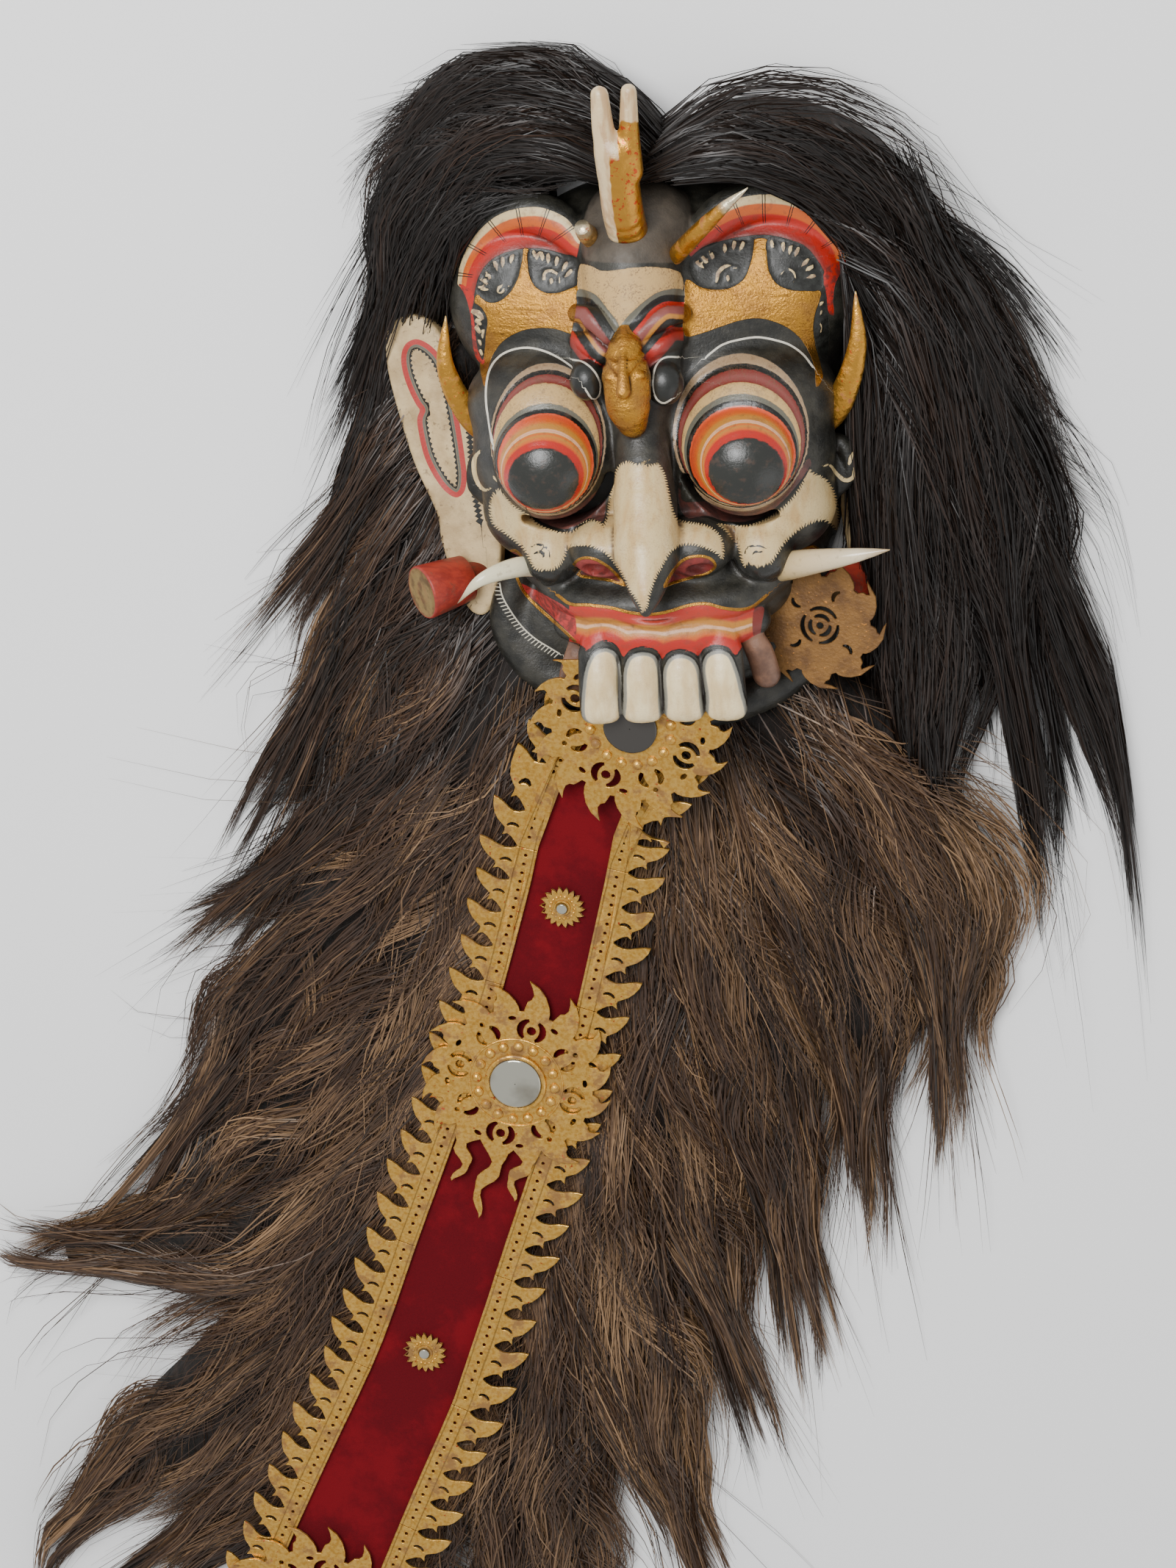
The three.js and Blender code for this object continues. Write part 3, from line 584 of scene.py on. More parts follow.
GROUPS = {
    "skull": [(SKULL, 0), (BROW, 10)],
    "dome": [(ball([-4, 132, 50], [36, 32, 35]), 5), (rod([[-6, 116, 66], [-6, 70, 74], [-6, 40, 74]],
                                                          [30, 29, 24]), 6)],
    "panels": [
        (ball([-78, 92, 28], [48, 56, 38]), 8), (ball([-56, 84, 42], [34, 44, 26]), 8),
        (ball([74, 92, 28], [48, 56, 38]), 8), (ball([50, 84, 42], [32, 44, 26]), 8),
    ],
    "mounds": [(ball([x, y, 60], [51, 52, 49]), 7) for x, y in EYES]
    + [(ball([x * 1.06, y + 30, 54], [50, 34, 42]), 8) for x, y in EYES],
    "arches": [
        (rod([[-117, 92, 28], [-112, 118, 38], [-98, 138, 44], [-72, 147, 50], [-50, 140, 56], [-33, 121,
            62]],
             [8, 12, 13, 13, 12, 8], 0.8), 2.5),
        (rod([[117, 92, 28], [112, 118, 38], [98, 138, 44], [70, 147, 50], [46, 140, 56], [25, 119, 62]],
             [8, 12, 13, 13, 12, 8], 0.8), 2.5),
    ],
    "cheeks": [(ball([-70, -32, 56], [40, 34, 38]), 9), (ball([67, -33, 56], [39, 34, 38]), 9)],
    "muzzle": [(ball([-2, -84, 52], [80, 36, 54]), 8), (ball([-2, -122, 22], [84, 42, 38]), 8)],
    "eyes": [(ball([x, y, 89], [33, 33, 34]), 1.2) for x, y in EYES],
    "browlets": [
        (rod(spots(TOP_LEFT, [(806, 700), (880, 720), (960, 800)], [84, 96, 100]), [6, 7, 6]), 2),
        (rod(spots(TOP_LEFT, [(806, 830), (870, 850), (920, 900)], [82, 94, 98]), [6, 7, 6]), 2),
        (rod(spots(TOP_LEFT, [(830, 900), (850, 980), (858, 1040)], [88, 94, 96]), [7, 9, 9]), 2.5),
        (rod(spots(TOP_RIGHT, [(95, 700), (20, 720), (-130, 800)], [84, 96, 100]), [6, 7, 6]), 2),
        (rod(spots(TOP_RIGHT, [(80, 820), (0, 850), (-90, 880)], [82, 94, 98]), [6, 7, 6]), 2),
        (rod(spots(TOP_RIGHT, [(30, 900), (20, 980), (25, 1050)], [88, 94, 96]), [7, 9, 9]), 2.5),
    ],
    "balls": [
        (ball(on(*TOP_LEFT(852, 1025), 100), [10.5, 12, 11]), 1.0),
        (ball(on(*TOP_RIGHT(18, 1040), 100), [11, 13, 11]), 1.0),
    ],
    "nose": [
        (rod([[-5, 26, 86], [-4, 6, 96], [-3, -20, 106], [-2, -48, 122], [-1, -66, 138], [-1, -76, 146]],
             [15, 16, 19, 19, 10, 3.5], 1.0), 6),
        (ball([-30, -50, 92], [23, 18, 25]), 5), (ball([24, -51, 92], [23, 18, 25]), 5),
    ],
    "knobs": [(ball([-65, -54, 84], [18, 20, 20]), 5), (ball([63, -56, 84], [18, 20, 20]), 5)],
    "hooks": [
        (ball([-107, -20, 40], [13, 15, 14]), 2.5), (ball([104, -20, 40], [13, 15, 14]), 2.5),
        (rod([[-98, 2, 44], [-112, -2, 48], [-116, -20, 48], [-106, -34, 46]], [4, 5, 5, 3]), 2),
        (rod([[96, 0, 44], [110, -2, 48], [114, -20, 48], [104, -34, 46]], [4, 5, 5, 3]), 2),
    ],
    "lip": [
        (rod([[-80, -70, 66], [-46, -84, 94], [-2, -85, 101], [44, -85, 94], [78, -72, 66]], [7, 10, 11, 10,
            7]), 5),
        (rod([[-60, -80, 84], [-40, -88, 99], [-22, -90, 107], [-2, -94, 111], [20, -90, 107], [44, -89, 98],
              [60, -82, 84]], [2, 2.2, 2.4, 2.4, 2.4, 2.2, 2]), 1.5),
    ],
    "gum": [(rod([[-58, -100, 82], [-28, -104, 95], [0, -104, 99], [28, -104, 95], [55, -100, 82]],
                 [10, 13, 13, 13, 10]), 3)],
    "jaw": [
        (rod([[-96, -78, 40], [-104, -108, 38], [-90, -136, 36], [-56, -156, 38], [0, -166, 44], [40, -162,
            42],
              [76, -144, 36], [92, -112, 34], [90, -80, 36]], [10, 12, 14, 13, 13, 13, 12, 10, 9], 1.1), 6),
        (ball([-74, -112, 30], [30, 34, 22]), 8), (ball([66, -108, 28], [26, 32, 20]), 8),
    ],
    "molars": [
        (rod([[-49, -104, 84], [-57, -128, 85], [-61, -143, 78]], [7, 8.5, 8.5], 0.7), 1.5),
        (rod([[49, -104, 84], [57, -120, 85], [60, -136, 80]], [7, 8.5, 8.5], 0.7), 1.5),
    ],
    "teeth": [],
    "boss": [
        (rod([[-8, 84, 98], [-8, 72, 108], [-8, 56, 112], [-8, 40, 112], [-7, 29, 108]], [3, 10, 14, 13, 9],
             0.85), 1.5),
        (rod([[-8, 74, 116], [-7.5, 62, 126], [-7.5, 52, 130]], [2.0, 3.0, 4.4]), 1.6),
        (rod([[-19, 70, 112], [-13, 66, 121], [-9, 62, 124]], [1.6, 2.6, 2.0]), 1.2),
        (rod([[3, 70, 112], [-3, 66, 121], [-6, 62, 124]], [1.6, 2.6, 2.0]), 1.2),
        (ball([-15.5, 59, 119], [4.2, 3.0, 3.6]), 0.8), (ball([0.5, 59, 119], [4.2, 3.0, 3.6]), 0.8),
    ],
}
MOUTH_DISC = on(*TOP_LEFT(1035, 1195), 117)
ring_turns = np.linspace(0, 2 * math.pi, 13)
GROUPS["boss"].append((rod([MOUTH_DISC + [6.6 * math.cos(a), 5.6 * math.sin(a), 0] for a in ring_turns],
                           [1.9, 1.9]), 1.2))
GROUPS["boss"].append((ball(MOUTH_DISC + [0, 0, -1], [2.6, 2.2, 2]), 1))
for i in range(4):
    x = -1 + (i - 1.5) * 24.4
    GROUPS["teeth"].append((rod([[x, -108, 98], [x * 1.03, -130, 104], [x * 1.06, -146, 103]],
                                [11.9, 12.2, 11.6], 0.8), 0.8))
    GROUPS["teeth"].append((rod([[x * 1.03 - 5.6, -114, 102], [x * 1.05 - 6.0, -150.5, 102.5]], [6.2, 6.2]),
                            2.5))
    GROUPS["teeth"].append((rod([[x * 1.03 + 5.6, -114, 102], [x * 1.05 + 6.0, -150.5, 102.5]], [6.2, 6.2]),
                            2.5))


def slit(centre, aim):
    """The curved opening below an eyeball."""
    turns = np.linspace(aim - 0.85, aim + 0.85, 9)
    ring = [[centre[0] + SLIT_RADIUS * math.cos(a), centre[1] + SLIT_RADIUS * math.sin(a), 70] for a in turns]
    line = smooth(ring, 4)[:, :2]

    def distance(p):
        flat = p[..., :2].reshape(-1, 2)
        d, _, _ = nearest(flat, line, False)
        return np.maximum(d.reshape(p.shape[:-1]) - SLIT_HALF, SLIT_FLOOR - p[..., 2])

    return distance, np.r_[line.min(0) - 4, 10], np.r_[line.max(0) + 4, 150]


NOSTRILS = [ball([-35, -60, 112], [9, 5.5, 12]), ball([28, -62, 112], [9, 5.5, 12])]
SLITS = [slit(EYES[0], -1.15), slit(EYES[1], -2.0)]
FORMS = [(form, k, False) for group in GROUPS.values() for form, k in group]
FORMS += [(form, 1.5, True) for form in NOSTRILS]
FORMS += [(form, 1.0, True) for form in SLITS]
FORMS += [(form, 2.0, True) for form in HOLLOW]
FORMS += [((lambda p: p[..., 2], np.array([-400.0] * 3), np.array([400.0, 400.0, 0.0])), 0, True)]

CELL = 1.74
points, quads, normals = surface(FORMS, [-132, -190, -3], [132, 172, 156], CELL)


def group_at(name, p):
    return field_at(p, [(form, k, False) for form, k in GROUPS[name]])


group_values = {name: group_at(name, points) for name in GROUPS}


def crease_of(p, n, forms, reach=4.0):
    """How shut in a place is, from 0 in the open to 1 in a deep groove."""
    return np.clip(1 - field_at(p + n * reach, forms) / reach, 0, 1)


inner = field_at(points, [(form, 0, False) for form in HOLLOW])
behind = (np.abs(inner) < 1.6) | (points[:, 2] < 0.5)
crease = crease_of(points, normals, FORMS)

# The carved mask: paint laid out on the drawing sheets
PX = 2.24  # sheet units of the whole view in a millimetre at the face
view = seen(points)
layers = {}


def only(names):
    """Positive on the named forms and negative on all others, as a distance to their edge."""
    mine = np.min([group_values[n] for n in names], 0)
    others = np.min([v for n, v in group_values.items() if n not in names], 0)
    return np.clip(others - mine, -6, 6)


def within_box(line, margin):
    low, high = line.min(0) - margin, line.max(0) + margin
    return ((view > low) & (view < high)).all(1)


def place_all(where, outline):
    return np.array([where(x, y) for x, y in outline])


def region(key, where, outline, on_forms=None, rounded=True):
    """A painted area: x is the distance inside its edge and y how far round the edge, in millimetres."""
    line = place_all(where, outline)
    line = smooth(line, 5, True) if rounded else line
    near = within_box(line, 26)
    d, _, s = nearest(view[near], line, True)
    d = np.where(inside(view[near], line), d, -d) / PX
    both = np.zeros((len(points), 3))
    both[:, 0] = -12
    both[near, 0] = np.clip(d, -12, 30)
    both[near, 1] = s / PX
    if on_forms is not None:
        both[:, 0] = np.minimum(both[:, 0], only(on_forms))
    layers[key] = both


def trail(key, where, outline, on_forms=None):
    """A painted line: x is the distance from it by side, y how far along, z 1 on its forms."""
    line = smooth(place_all(where, outline), 6)
    near = within_box(line, 110)
    d, side, s = nearest(view[near], line, False)
    both = np.zeros((len(points), 3))
    both[:, 0] = 99
    both[near, 0] = d * side / PX
    both[near, 1] = s / PX
    both[:, 2] = 1 if on_forms is None else only(on_forms)
    layers[key] = both


def between(key, where, outer, inner_line, on_forms=None):
    """A painted band: x runs from 0 on the outer line to 1 on the inner one."""
    a = smooth(place_all(where, outer), 6)
    b = smooth(place_all(where, inner_line), 6)
    near = within_box(np.vstack([a, b]), 20)
    da, _, s = nearest(view[near], a, False)
    db, _, _ = nearest(view[near], b, False)
    ring = np.vstack([a, b[::-1]])
    d = inside(view[near], ring)
    edge, _, _ = nearest(view[near], ring, True)
    both = np.zeros((len(points), 3))
    both[:, 2] = -12
    both[near, 0] = da / np.maximum(da + db, 1e-6)
    both[near, 1] = s / PX
    both[near, 2] = np.where(d, edge, -edge) / PX
    if on_forms is not None:
        both[:, 2] = np.minimum(both[:, 2], only(on_forms))
    layers[key] = both


def rings(key, where, scale, ovals, on_forms=None):
    """Nested ovals: x is the number of the ring, with its fraction."""
    q = view
    f = []
    for cx, cy, a, b in ovals:
        mx, my = where(cx, cy)
        f.append(np.hypot((q[:, 0] - mx) / (a / scale), (q[:, 1] - my) / (b / scale)) - 1)
    value = np.where(f[0] < 0, 1 + f[0], 0.0)
    for k in range(len(f) - 1):
        here = (f[k] >= 0) & (f[k + 1] < 0)
        value = np.where(here, k + 1 + f[k] / np.maximum(f[k] - f[k + 1], 1e-6), value)
    value = np.where(f[-1] >= 0, len(f) + np.clip(f[-1] * 8, 0, 3), value)
    both = np.zeros((len(points), 3))
    both[:, 0] = value
    both[:, 2] = 1 if on_forms is None else only(on_forms)
    layers[key] = both


def marks(key, shapes, on_forms=None):
    """Many small strokes in one layer: each is a sheet, a line and its half widths."""
    best = np.full(len(points), -12.0)
    for where, outline, widths in shapes:
        line = smooth(place_all(where, outline), 5)
        near = within_box(line, 26)
        d, _, s = nearest(view[near], line, False)
        total = np.linalg.norm(np.diff(line, axis=0), axis=1).sum()
        wide = profile(widths, s / total)
        best[near] = np.maximum(best[near], wide - d / PX)
    both = np.zeros((len(points), 3))
    both[:, 0] = best
    if on_forms is not None:
        both[:, 0] = np.minimum(both[:, 0], only(on_forms))
    layers[key] = both


UPPER = ["skull", "dome", "panels", "mounds", "arches", "browlets", "hooks"]
region("dome", TOP_LEFT, [(835, 430), (822, 330), (845, 210), (890, 120), (970, 70), (1110, 55), (1240, 65),
    (1325, 115), (1355, 200), (1345, 330), (1310, 440), (1180, 455), (1000, 455), (900, 450)],
    ["dome", "skull"])
region("gilt_left", TOP_LEFT, [(545, 385), (566, 388), (562, 470), (585, 552), (640, 596), (700, 600),
    (765, 580), (812, 552), (806, 660), (800, 760), (790, 800), (700, 776), (600, 772), (520, 790),
    (440, 838), (395, 900), (372, 960), (356, 1060), (338, 1000), (332, 930), (352, 880), (360, 800),
    (366, 735), (340, 680), (305, 650), (318, 608), (360, 645), (410, 648), (470, 608), (512, 540),
    (530, 470), (540, 420)])
region("gilt_right", TOP_RIGHT, [(445, 345), (512, 342), (512, 420), (522, 500), (562, 560), (640, 590),
    (760, 588), (775, 600), (748, 690), (736, 760), (745, 850), (772, 950), (782, 1010), (752, 1060),
    (742, 960), (700, 860), (640, 790), (560, 745), (480, 725), (400, 730), (300, 760), (200, 795),
    (120, 812), (103, 780), (112, 640), (122, 535), (190, 573), (280, 585), (350, 570), (402, 530),
    (430, 460), (442, 400)])
between("arch_left", TOP_LEFT, [(222, 560), (232, 480), (262, 400), (310, 320), (380, 250), (450, 210),
    (540, 188), (620, 186), (690, 208), (750, 240), (792, 290), (818, 345)], [(300, 630), (318, 540),
    (350, 478), (400, 430), (470, 400), (560, 383), (640, 385), (720, 405), (800, 432)])
between("arch_right", TOP_RIGHT, [(130, 380), (170, 310), (235, 230), (330, 160), (430, 130), (520, 124),
    (620, 134), (720, 168), (800, 225), (872, 298), (916, 390), (916, 450)], [(140, 430), (200, 380),
    (300, 345), (400, 325), (520, 320), (620, 340), (700, 375), (750, 430), (790, 500), (802, 560)])
region("tail_left", TOP_LEFT, [(226, 555), (300, 600), (300, 650), (306, 760), (320, 860), (350, 910),
                               (352, 950), (318, 925),
                               (298, 860), (284, 700), (258, 610)])
region("tail_right", TOP_RIGHT, [(905, 440), (870, 500), (842, 560), (832, 640), (834, 710), (812, 700),
                                 (800, 610), (786, 540),
                                 (800, 480)])
region("oval_1", TOP_LEFT, [(318, 600), (325, 560), (350, 495), (400, 445), (460, 415), (515, 398),
    (524, 440), (515, 510), (480, 580), (430, 632), (380, 648), (340, 630)])
region("oval_2", TOP_LEFT, [(568, 390), (640, 388), (720, 408), (800, 436), (806, 556), (765, 580),
                            (700, 602), (640, 598),
                            (590, 560), (565, 470)])
region("oval_3", TOP_RIGHT, [(140, 440), (200, 385), (300, 348), (440, 332), (444, 400), (430, 460),
                             (400, 530), (350, 570),
                             (280, 585), (190, 568), (145, 510)])
region("oval_4", TOP_RIGHT, [(512, 340), (560, 328), (620, 345), (700, 380), (750, 430), (787, 520),
    (785, 570), (760, 590), (700, 592), (640, 588), (562, 556), (522, 490), (510, 420)])


def fangs(where, roots, centre, long=46):
    out = []
    for x, y in roots:
        away = np.array(centre, float) - (x, y)
        away /= np.linalg.norm(away)
        tip = np.array([x, y]) + away * long
        out.append((where, [(x, y), (x + away[0] * long * 0.5, y + away[1] * long * 0.5), tuple(tip)],
                    [1.0, 1.25, 0.1]))
    return out


marks("fangs", [*fangs(TOP_LEFT, [(328, 575), (338, 535), (360, 505), (402, 452), (440, 432), (488, 416)],
    (440, 610)), *fangs(TOP_LEFT, [(592, 400), (626, 402), (660, 414), (705, 430), (750, 455), (772, 492)],
    (670, 600)), *fangs(TOP_RIGHT, [(172, 452), (200, 425), (238, 402), (308, 366), (355, 350),
    (396, 356)], (310, 560)), *fangs(TOP_RIGHT, [(532, 350), (590, 358), (628, 372), (664, 384),
    (712, 440), (735, 472), (748, 516)], (590, 560)), (TOP_LEFT, [(412, 608), (420, 575), (445, 562),
    (470, 568)], [0.5, 0.8, 0.4]), (TOP_LEFT, [(436, 598), (442, 590)], [0.9, 0.9]), (TOP_LEFT,
    [(640, 540), (645, 500), (680, 494), (708, 515), (716, 556)], [0.9, 0.9, 0.4]), (TOP_LEFT, [(676, 536),
    (678, 552)], [1.1, 0.9]), (TOP_RIGHT, [(268, 545), (276, 502), (312, 470), (362, 480)],
    [0.9, 1.2, 0.5]), (TOP_RIGHT, [(322, 522), (324, 538)], [1.1, 0.9]), (TOP_RIGHT, [(580, 512),
    (600, 484), (640, 500), (648, 540), (628, 572)], [0.4, 0.6, 0.4]), (TOP_LEFT, [(302, 690), (325, 700),
    (345, 720)], [1.6, 1.8, 1.2]), (TOP_LEFT, [(318, 735), (335, 750)], [1.4, 1.0]), (TOP_LEFT,
    [(318, 770), (332, 790)], [1.4, 1.0]), (TOP_LEFT, [(350, 778), (346, 815)], [0.8, 0.6]), (TOP_LEFT,
    [(330, 832), (338, 850)], [1.0, 0.7]), (TOP_LEFT, [(336, 880), (344, 900)], [1.0, 0.7]), (TOP_RIGHT,
    [(782, 640), (770, 655)], [0.5, 1.0]), (TOP_RIGHT, [(780, 680), (772, 700)], [0.5, 0.9]), (TOP_RIGHT,
    [(762, 740), (772, 760), (770, 800)], [0.4, 0.4, 0.3]),])
region("side_left", TOP_LEFT, [(300, 650), (345, 680), (368, 735), (360, 800), (354, 880), (345, 930),
                               (322, 880), (308, 780)])
region("side_right", TOP_RIGHT, [(790, 560), (800, 640), (812, 760), (806, 900), (790, 940), (765, 900),
                                 (740, 760), (750, 690),
                                 (775, 610)])
region("band", TOP_LEFT, [(818, 465), (880, 474), (925, 495), (1000, 490), (1080, 478), (1180, 476),
    (1262, 488), (1300, 505), (1312, 590), (1215, 592), (1130, 640), (1060, 715), (1012, 778), (985, 740),
    (935, 660), (885, 605), (812, 590)], ["dome", "skull", "panels", "boss"])
region("fan_left_area", TOP_LEFT, [(806, 585), (885, 602), (950, 675), (1012, 775), (985, 850), (950, 900),
    (930, 1000), (905, 1110), (860, 1110), (800, 1010), (772, 900), (776, 790), (798, 680)], ["dome",
    "browlets", "skull", "balls", "boss"])
region("fan_right_area", TOP_LEFT, [(1012, 775), (1130, 640), (1215, 590), (1318, 590), (1318, 700),
    (1312, 900), (1300, 1010), (1275, 1120), (1210, 1150), (1150, 1110), (1130, 970), (1105, 880),
    (1060, 830)], ["dome", "browlets", "skull", "balls", "boss"])
trail("fan_left", TOP_LEFT, [(760, 588), (815, 590), (885, 605), (935, 660), (985, 738), (1012, 778)])
trail("fan_right", TOP_LEFT, [(1012, 778), (1060, 717), (1130, 640), (1215, 592), (1330, 592)])
trail("ball_line_left", TOP_LEFT, [(785, 926), (830, 938), (880, 978), (912, 1040), (905, 1100), (880, 1115),
                                   (845, 1070)],
      ["browlets", "balls", "dome", "skull", "mounds"])
trail("ball_line_right", TOP_LEFT, [(1290, 914), (1225, 918), (1187, 960), (1172, 1040), (1187, 1108),
                                    (1222, 1132), (1262, 1112)],
      ["browlets", "balls", "dome", "skull", "mounds"])
rings("ring_left", EYE_LEFT, 3.2675, [(782, 886, 157, 136), (784, 873, 178, 157), (786, 860, 186, 170),
    (787, 850, 192, 182), (789, 836, 200, 196), (793, 815, 210, 217), (792, 806, 220, 228),
    (792, 795, 226, 239), (796, 750, 234, 288), (801, 730, 244, 308), (802, 722, 247, 317),
    (804, 712, 250, 334)], ["mounds", "eyes", "skull", "panels", "cheeks"])
rings("ring_right", EYE_RIGHT, 3.2675, [(508, 852, 168, 147), (506, 835, 184, 166), (505, 825, 192, 178),
    (503, 815, 198, 188), (500, 803, 208, 202), (491, 782, 233, 222), (489, 770, 241, 233),
    (487, 757, 250, 245), (486, 733, 262, 273), (487, 703, 282, 305), (487, 694, 291, 316),
    (482, 680, 298, 345)], ["mounds", "eyes", "skull", "panels", "cheeks"])
trail("arc_left", EYE_LEFT, [(566, 760), (545, 660), (528, 560), (528, 470), (546, 395), (590, 340),
                             (650, 312), (720, 305),
                             (800, 325), (860, 357), (925, 405)], UPPER)
trail("arc_right", EYE_RIGHT, [(330, 345), (400, 292), (480, 268), (560, 258), (640, 272), (700, 292),
                               (760, 335), (805, 392)],
      UPPER)
region("lid_left", EYE_LEFT, [(700, 985), (760, 1010), (830, 1010), (900, 1020), (960, 985), (1045, 930),
    (1058, 1010), (1042, 1078), (990, 1062), (940, 1090), (880, 1112), (800, 1092), (735, 1052)],
    ["mounds", "cheeks", "skull", "nose", "eyes", "knobs"])
region("lid_right", EYE_RIGHT, [(215, 900), (225, 985), (300, 990), (400, 1000), (500, 1010), (600, 980),
    (680, 925), (740, 850), (785, 795), (796, 830), (740, 905), (665, 992), (590, 1052), (500, 1080),
    (400, 1075), (330, 1052), (250, 1062), (218, 1030), (205, 950)], ["mounds", "cheeks", "skull", "nose",
    "eyes", "knobs"])
region("cheek_left", EYE_LEFT, [(540, 985), (570, 935), (620, 925), (660, 955), (700, 1000), (728, 1052),
    (790, 1096), (870, 1118), (905, 1116), (950, 1082), (1000, 1064), (1050, 1085), (1050, 1130),
    (1010, 1170), (940, 1190), (895, 1195), (885, 1230), (850, 1285), (800, 1302), (740, 1292),
    (715, 1250), (690, 1205), (640, 1160), (600, 1130), (565, 1105), (545, 1075)], ["mounds", "cheeks",
    "skull", "knobs", "hooks", "muzzle", "nose"])
region("cheek_right", EYE_RIGHT, [(770, 800), (802, 850), (870, 890), (905, 950), (925, 1050), (935, 1180),
    (900, 1115), (850, 1080), (790, 1092), (730, 1130), (680, 1180), (640, 1240), (600, 1290), (540, 1302),
    (500, 1290), (480, 1250), (468, 1200), (420, 1130), (375, 1090), (400, 1082), (500, 1090), (590, 1062),
    (680, 1000), (750, 905)], ["mounds", "cheeks", "skull", "knobs", "hooks", "muzzle", "nose"])


def both_eyes(left, right):
    return [EYE_LEFT(x, y) for x, y in left] + [EYE_RIGHT(x, y) for x, y in right]


region("nose", lambda x, y: (x, y), both_eyes(
    [(1070, 980), (1085, 900), (1112, 830), (1155, 805), (1200, 818), (1250, 800), (1300, 812)],
    [(60, 822), (100, 800), (142, 850), (165, 930), (182, 1010), (205, 1062), (250, 1075), (330, 1090),
     (390, 1130), (412, 1195),
     (404, 1250), (370, 1222), (300, 1192), (230, 1186), (180, 1212), (148, 1262), (108, 1335), (84, 1400),
     (66, 1470), (30, 1490)])
    + [EYE_LEFT(x, y) for x, y in [(1215, 1480), (1190, 1430), (1160, 1385), (1138, 1335), (1103, 1280),
                                   (1058, 1225), (1000, 1196),
                                   (940, 1186), (900, 1196), (884, 1218), (880, 1190), (930, 1160),
                                   (1000, 1130), (1040, 1100),
                                   (1060, 1050)]], ["nose", "skull", "cheeks", "mounds"])
region("nostril_left", EYE_LEFT, [(905, 1288), (930, 1245), (985, 1233), (1050, 1258), (1110, 1308),
                                  (1150, 1366), (1080, 1346),
                                  (1000, 1334), (940, 1322)], ["nose", "lip", "muzzle"])
region("nostril_right", EYE_RIGHT, [(138, 1372), (180, 1290), (230, 1240), (300, 1225), (355, 1240),
                                    (377, 1275), (340, 1312),
                                    (250, 1337), (180, 1358)], ["nose", "lip", "muzzle"])
marks("ink", [(EYE_LEFT, [(722, 1192), (760, 1180), (800, 1200), (812, 1242)], [0.35, 0.9, 0.3]), (EYE_LEFT,
    [(735, 1224), (768, 1212), (784, 1228), (766, 1244)], [0.4, 1.1, 0.3]), (EYE_RIGHT, [(500, 1228),
    (510, 1196), (550, 1184), (604, 1198)], [0.3, 0.7, 0.4]), (EYE_RIGHT, [(530, 1228), (550, 1210),
    (584, 1216)], [0.3, 0.9, 0.3]), (EYE_LEFT, [(700, 1000), (735, 1060), (800, 1098), (880, 1118),
    (940, 1096), (1000, 1066)], [0.2, 0.8, 1.0, 0.8, 0.2]), (EYE_RIGHT, [(250, 1068), (330, 1056),
    (400, 1080), (500, 1086), (590, 1058), (665, 998), (750, 900), (795, 830)], [0.2, 0.9, 1.0, 0.9, 0.8,
    0.5]),])
trail("lip_line", MOUTH, [(425, 262), (465, 290), (520, 293), (600, 303), (660, 318), (720, 324),
    (780, 315), (850, 294), (905, 289), (960, 303), (1010, 308), (1052, 300), (1100, 262)],
    ["lip", "gum", "muzzle"])
between("gum", MOUTH, [(462, 288), (520, 293), (600, 303), (660, 318), (720, 324), (780, 315), (850, 294),
    (905, 289), (960, 303), (1010, 308), (1060, 298)], [(462, 415), (500, 428), (522, 446), (545, 424),
    (580, 410), (612, 428), (636, 468), (662, 442), (700, 430), (740, 442), (763, 474), (785, 450),
    (822, 440), (860, 452), (882, 468), (900, 438), (935, 426), (972, 434), (1000, 462), (1030, 424),
    (1068, 405)], ["lip", "gum", "teeth", "muzzle", "molars", "jaw"])
tooth_lines = [[(517, 480), (545, 440), (585, 430), (618, 450), (632, 500), (634, 600), (630, 700),
    (560, 700), (505, 670), (502, 560)], [(636, 500), (655, 458), (700, 442), (742, 456), (760, 500),
    (764, 600), (760, 710), (700, 710), (634, 700), (634, 600)], [(764, 500), (785, 462), (825, 450),
    (865, 465), (886, 500), (896, 600), (900, 700), (840, 712), (770, 705), (766, 600)], [(888, 490),
    (905, 450), (945, 436), (982, 448), (1008, 500), (1026, 570), (1042, 660), (990, 690), (905, 690),
    (900, 590)],]
tooth_gap = np.full(len(points), -12.0)
for outline in tooth_lines:
    line = smooth(place_all(MOUTH, outline), 5, True)
    near = within_box(line, 20)
    d, _, _ = nearest(view[near], line, True)
    tooth_gap[near] = np.maximum(tooth_gap[near], np.where(inside(view[near], line), d, -d) / PX)
layers["teeth"] = np.stack([np.minimum(tooth_gap, 12), 0 * tooth_gap, only(["teeth", "gum"])], 1)
region("molars", MOUTH, [(440, 560), (470, 470), (500, 480), (520, 560), (505, 640), (440, 620)], ["molars",
    "jaw", "muzzle", "gum"])
layers["molars"][:, 0] = np.clip(only(["molars"]), -12, 12)
trail("jaw_line", MOUTH, [(272, 122), (285, 180), (312, 245), (352, 292), (400, 336), (440, 372), (480, 410)],
      ["jaw", "muzzle", "skull", "lip", "gum"])
region("jaw_red", MOUTH, [(296, 222), (340, 238), (400, 270), (450, 300), (480, 330), (480, 395), (430, 352),
                          (365, 292), (318, 255)],
       ["jaw", "muzzle", "skull", "lip", "gum"])
region("jaw_red_right", MOUTH, [(1062, 305), (1090, 300), (1085, 350), (1072, 420), (1058, 400)],
       ["jaw", "muzzle", "skull", "lip", "gum"])
trail("whiskers", MOUTH, [(236, 212), (245, 262), (272, 312), (312, 366), (352, 402), (400, 432), (430, 450)],
      ["jaw", "muzzle", "skull"])
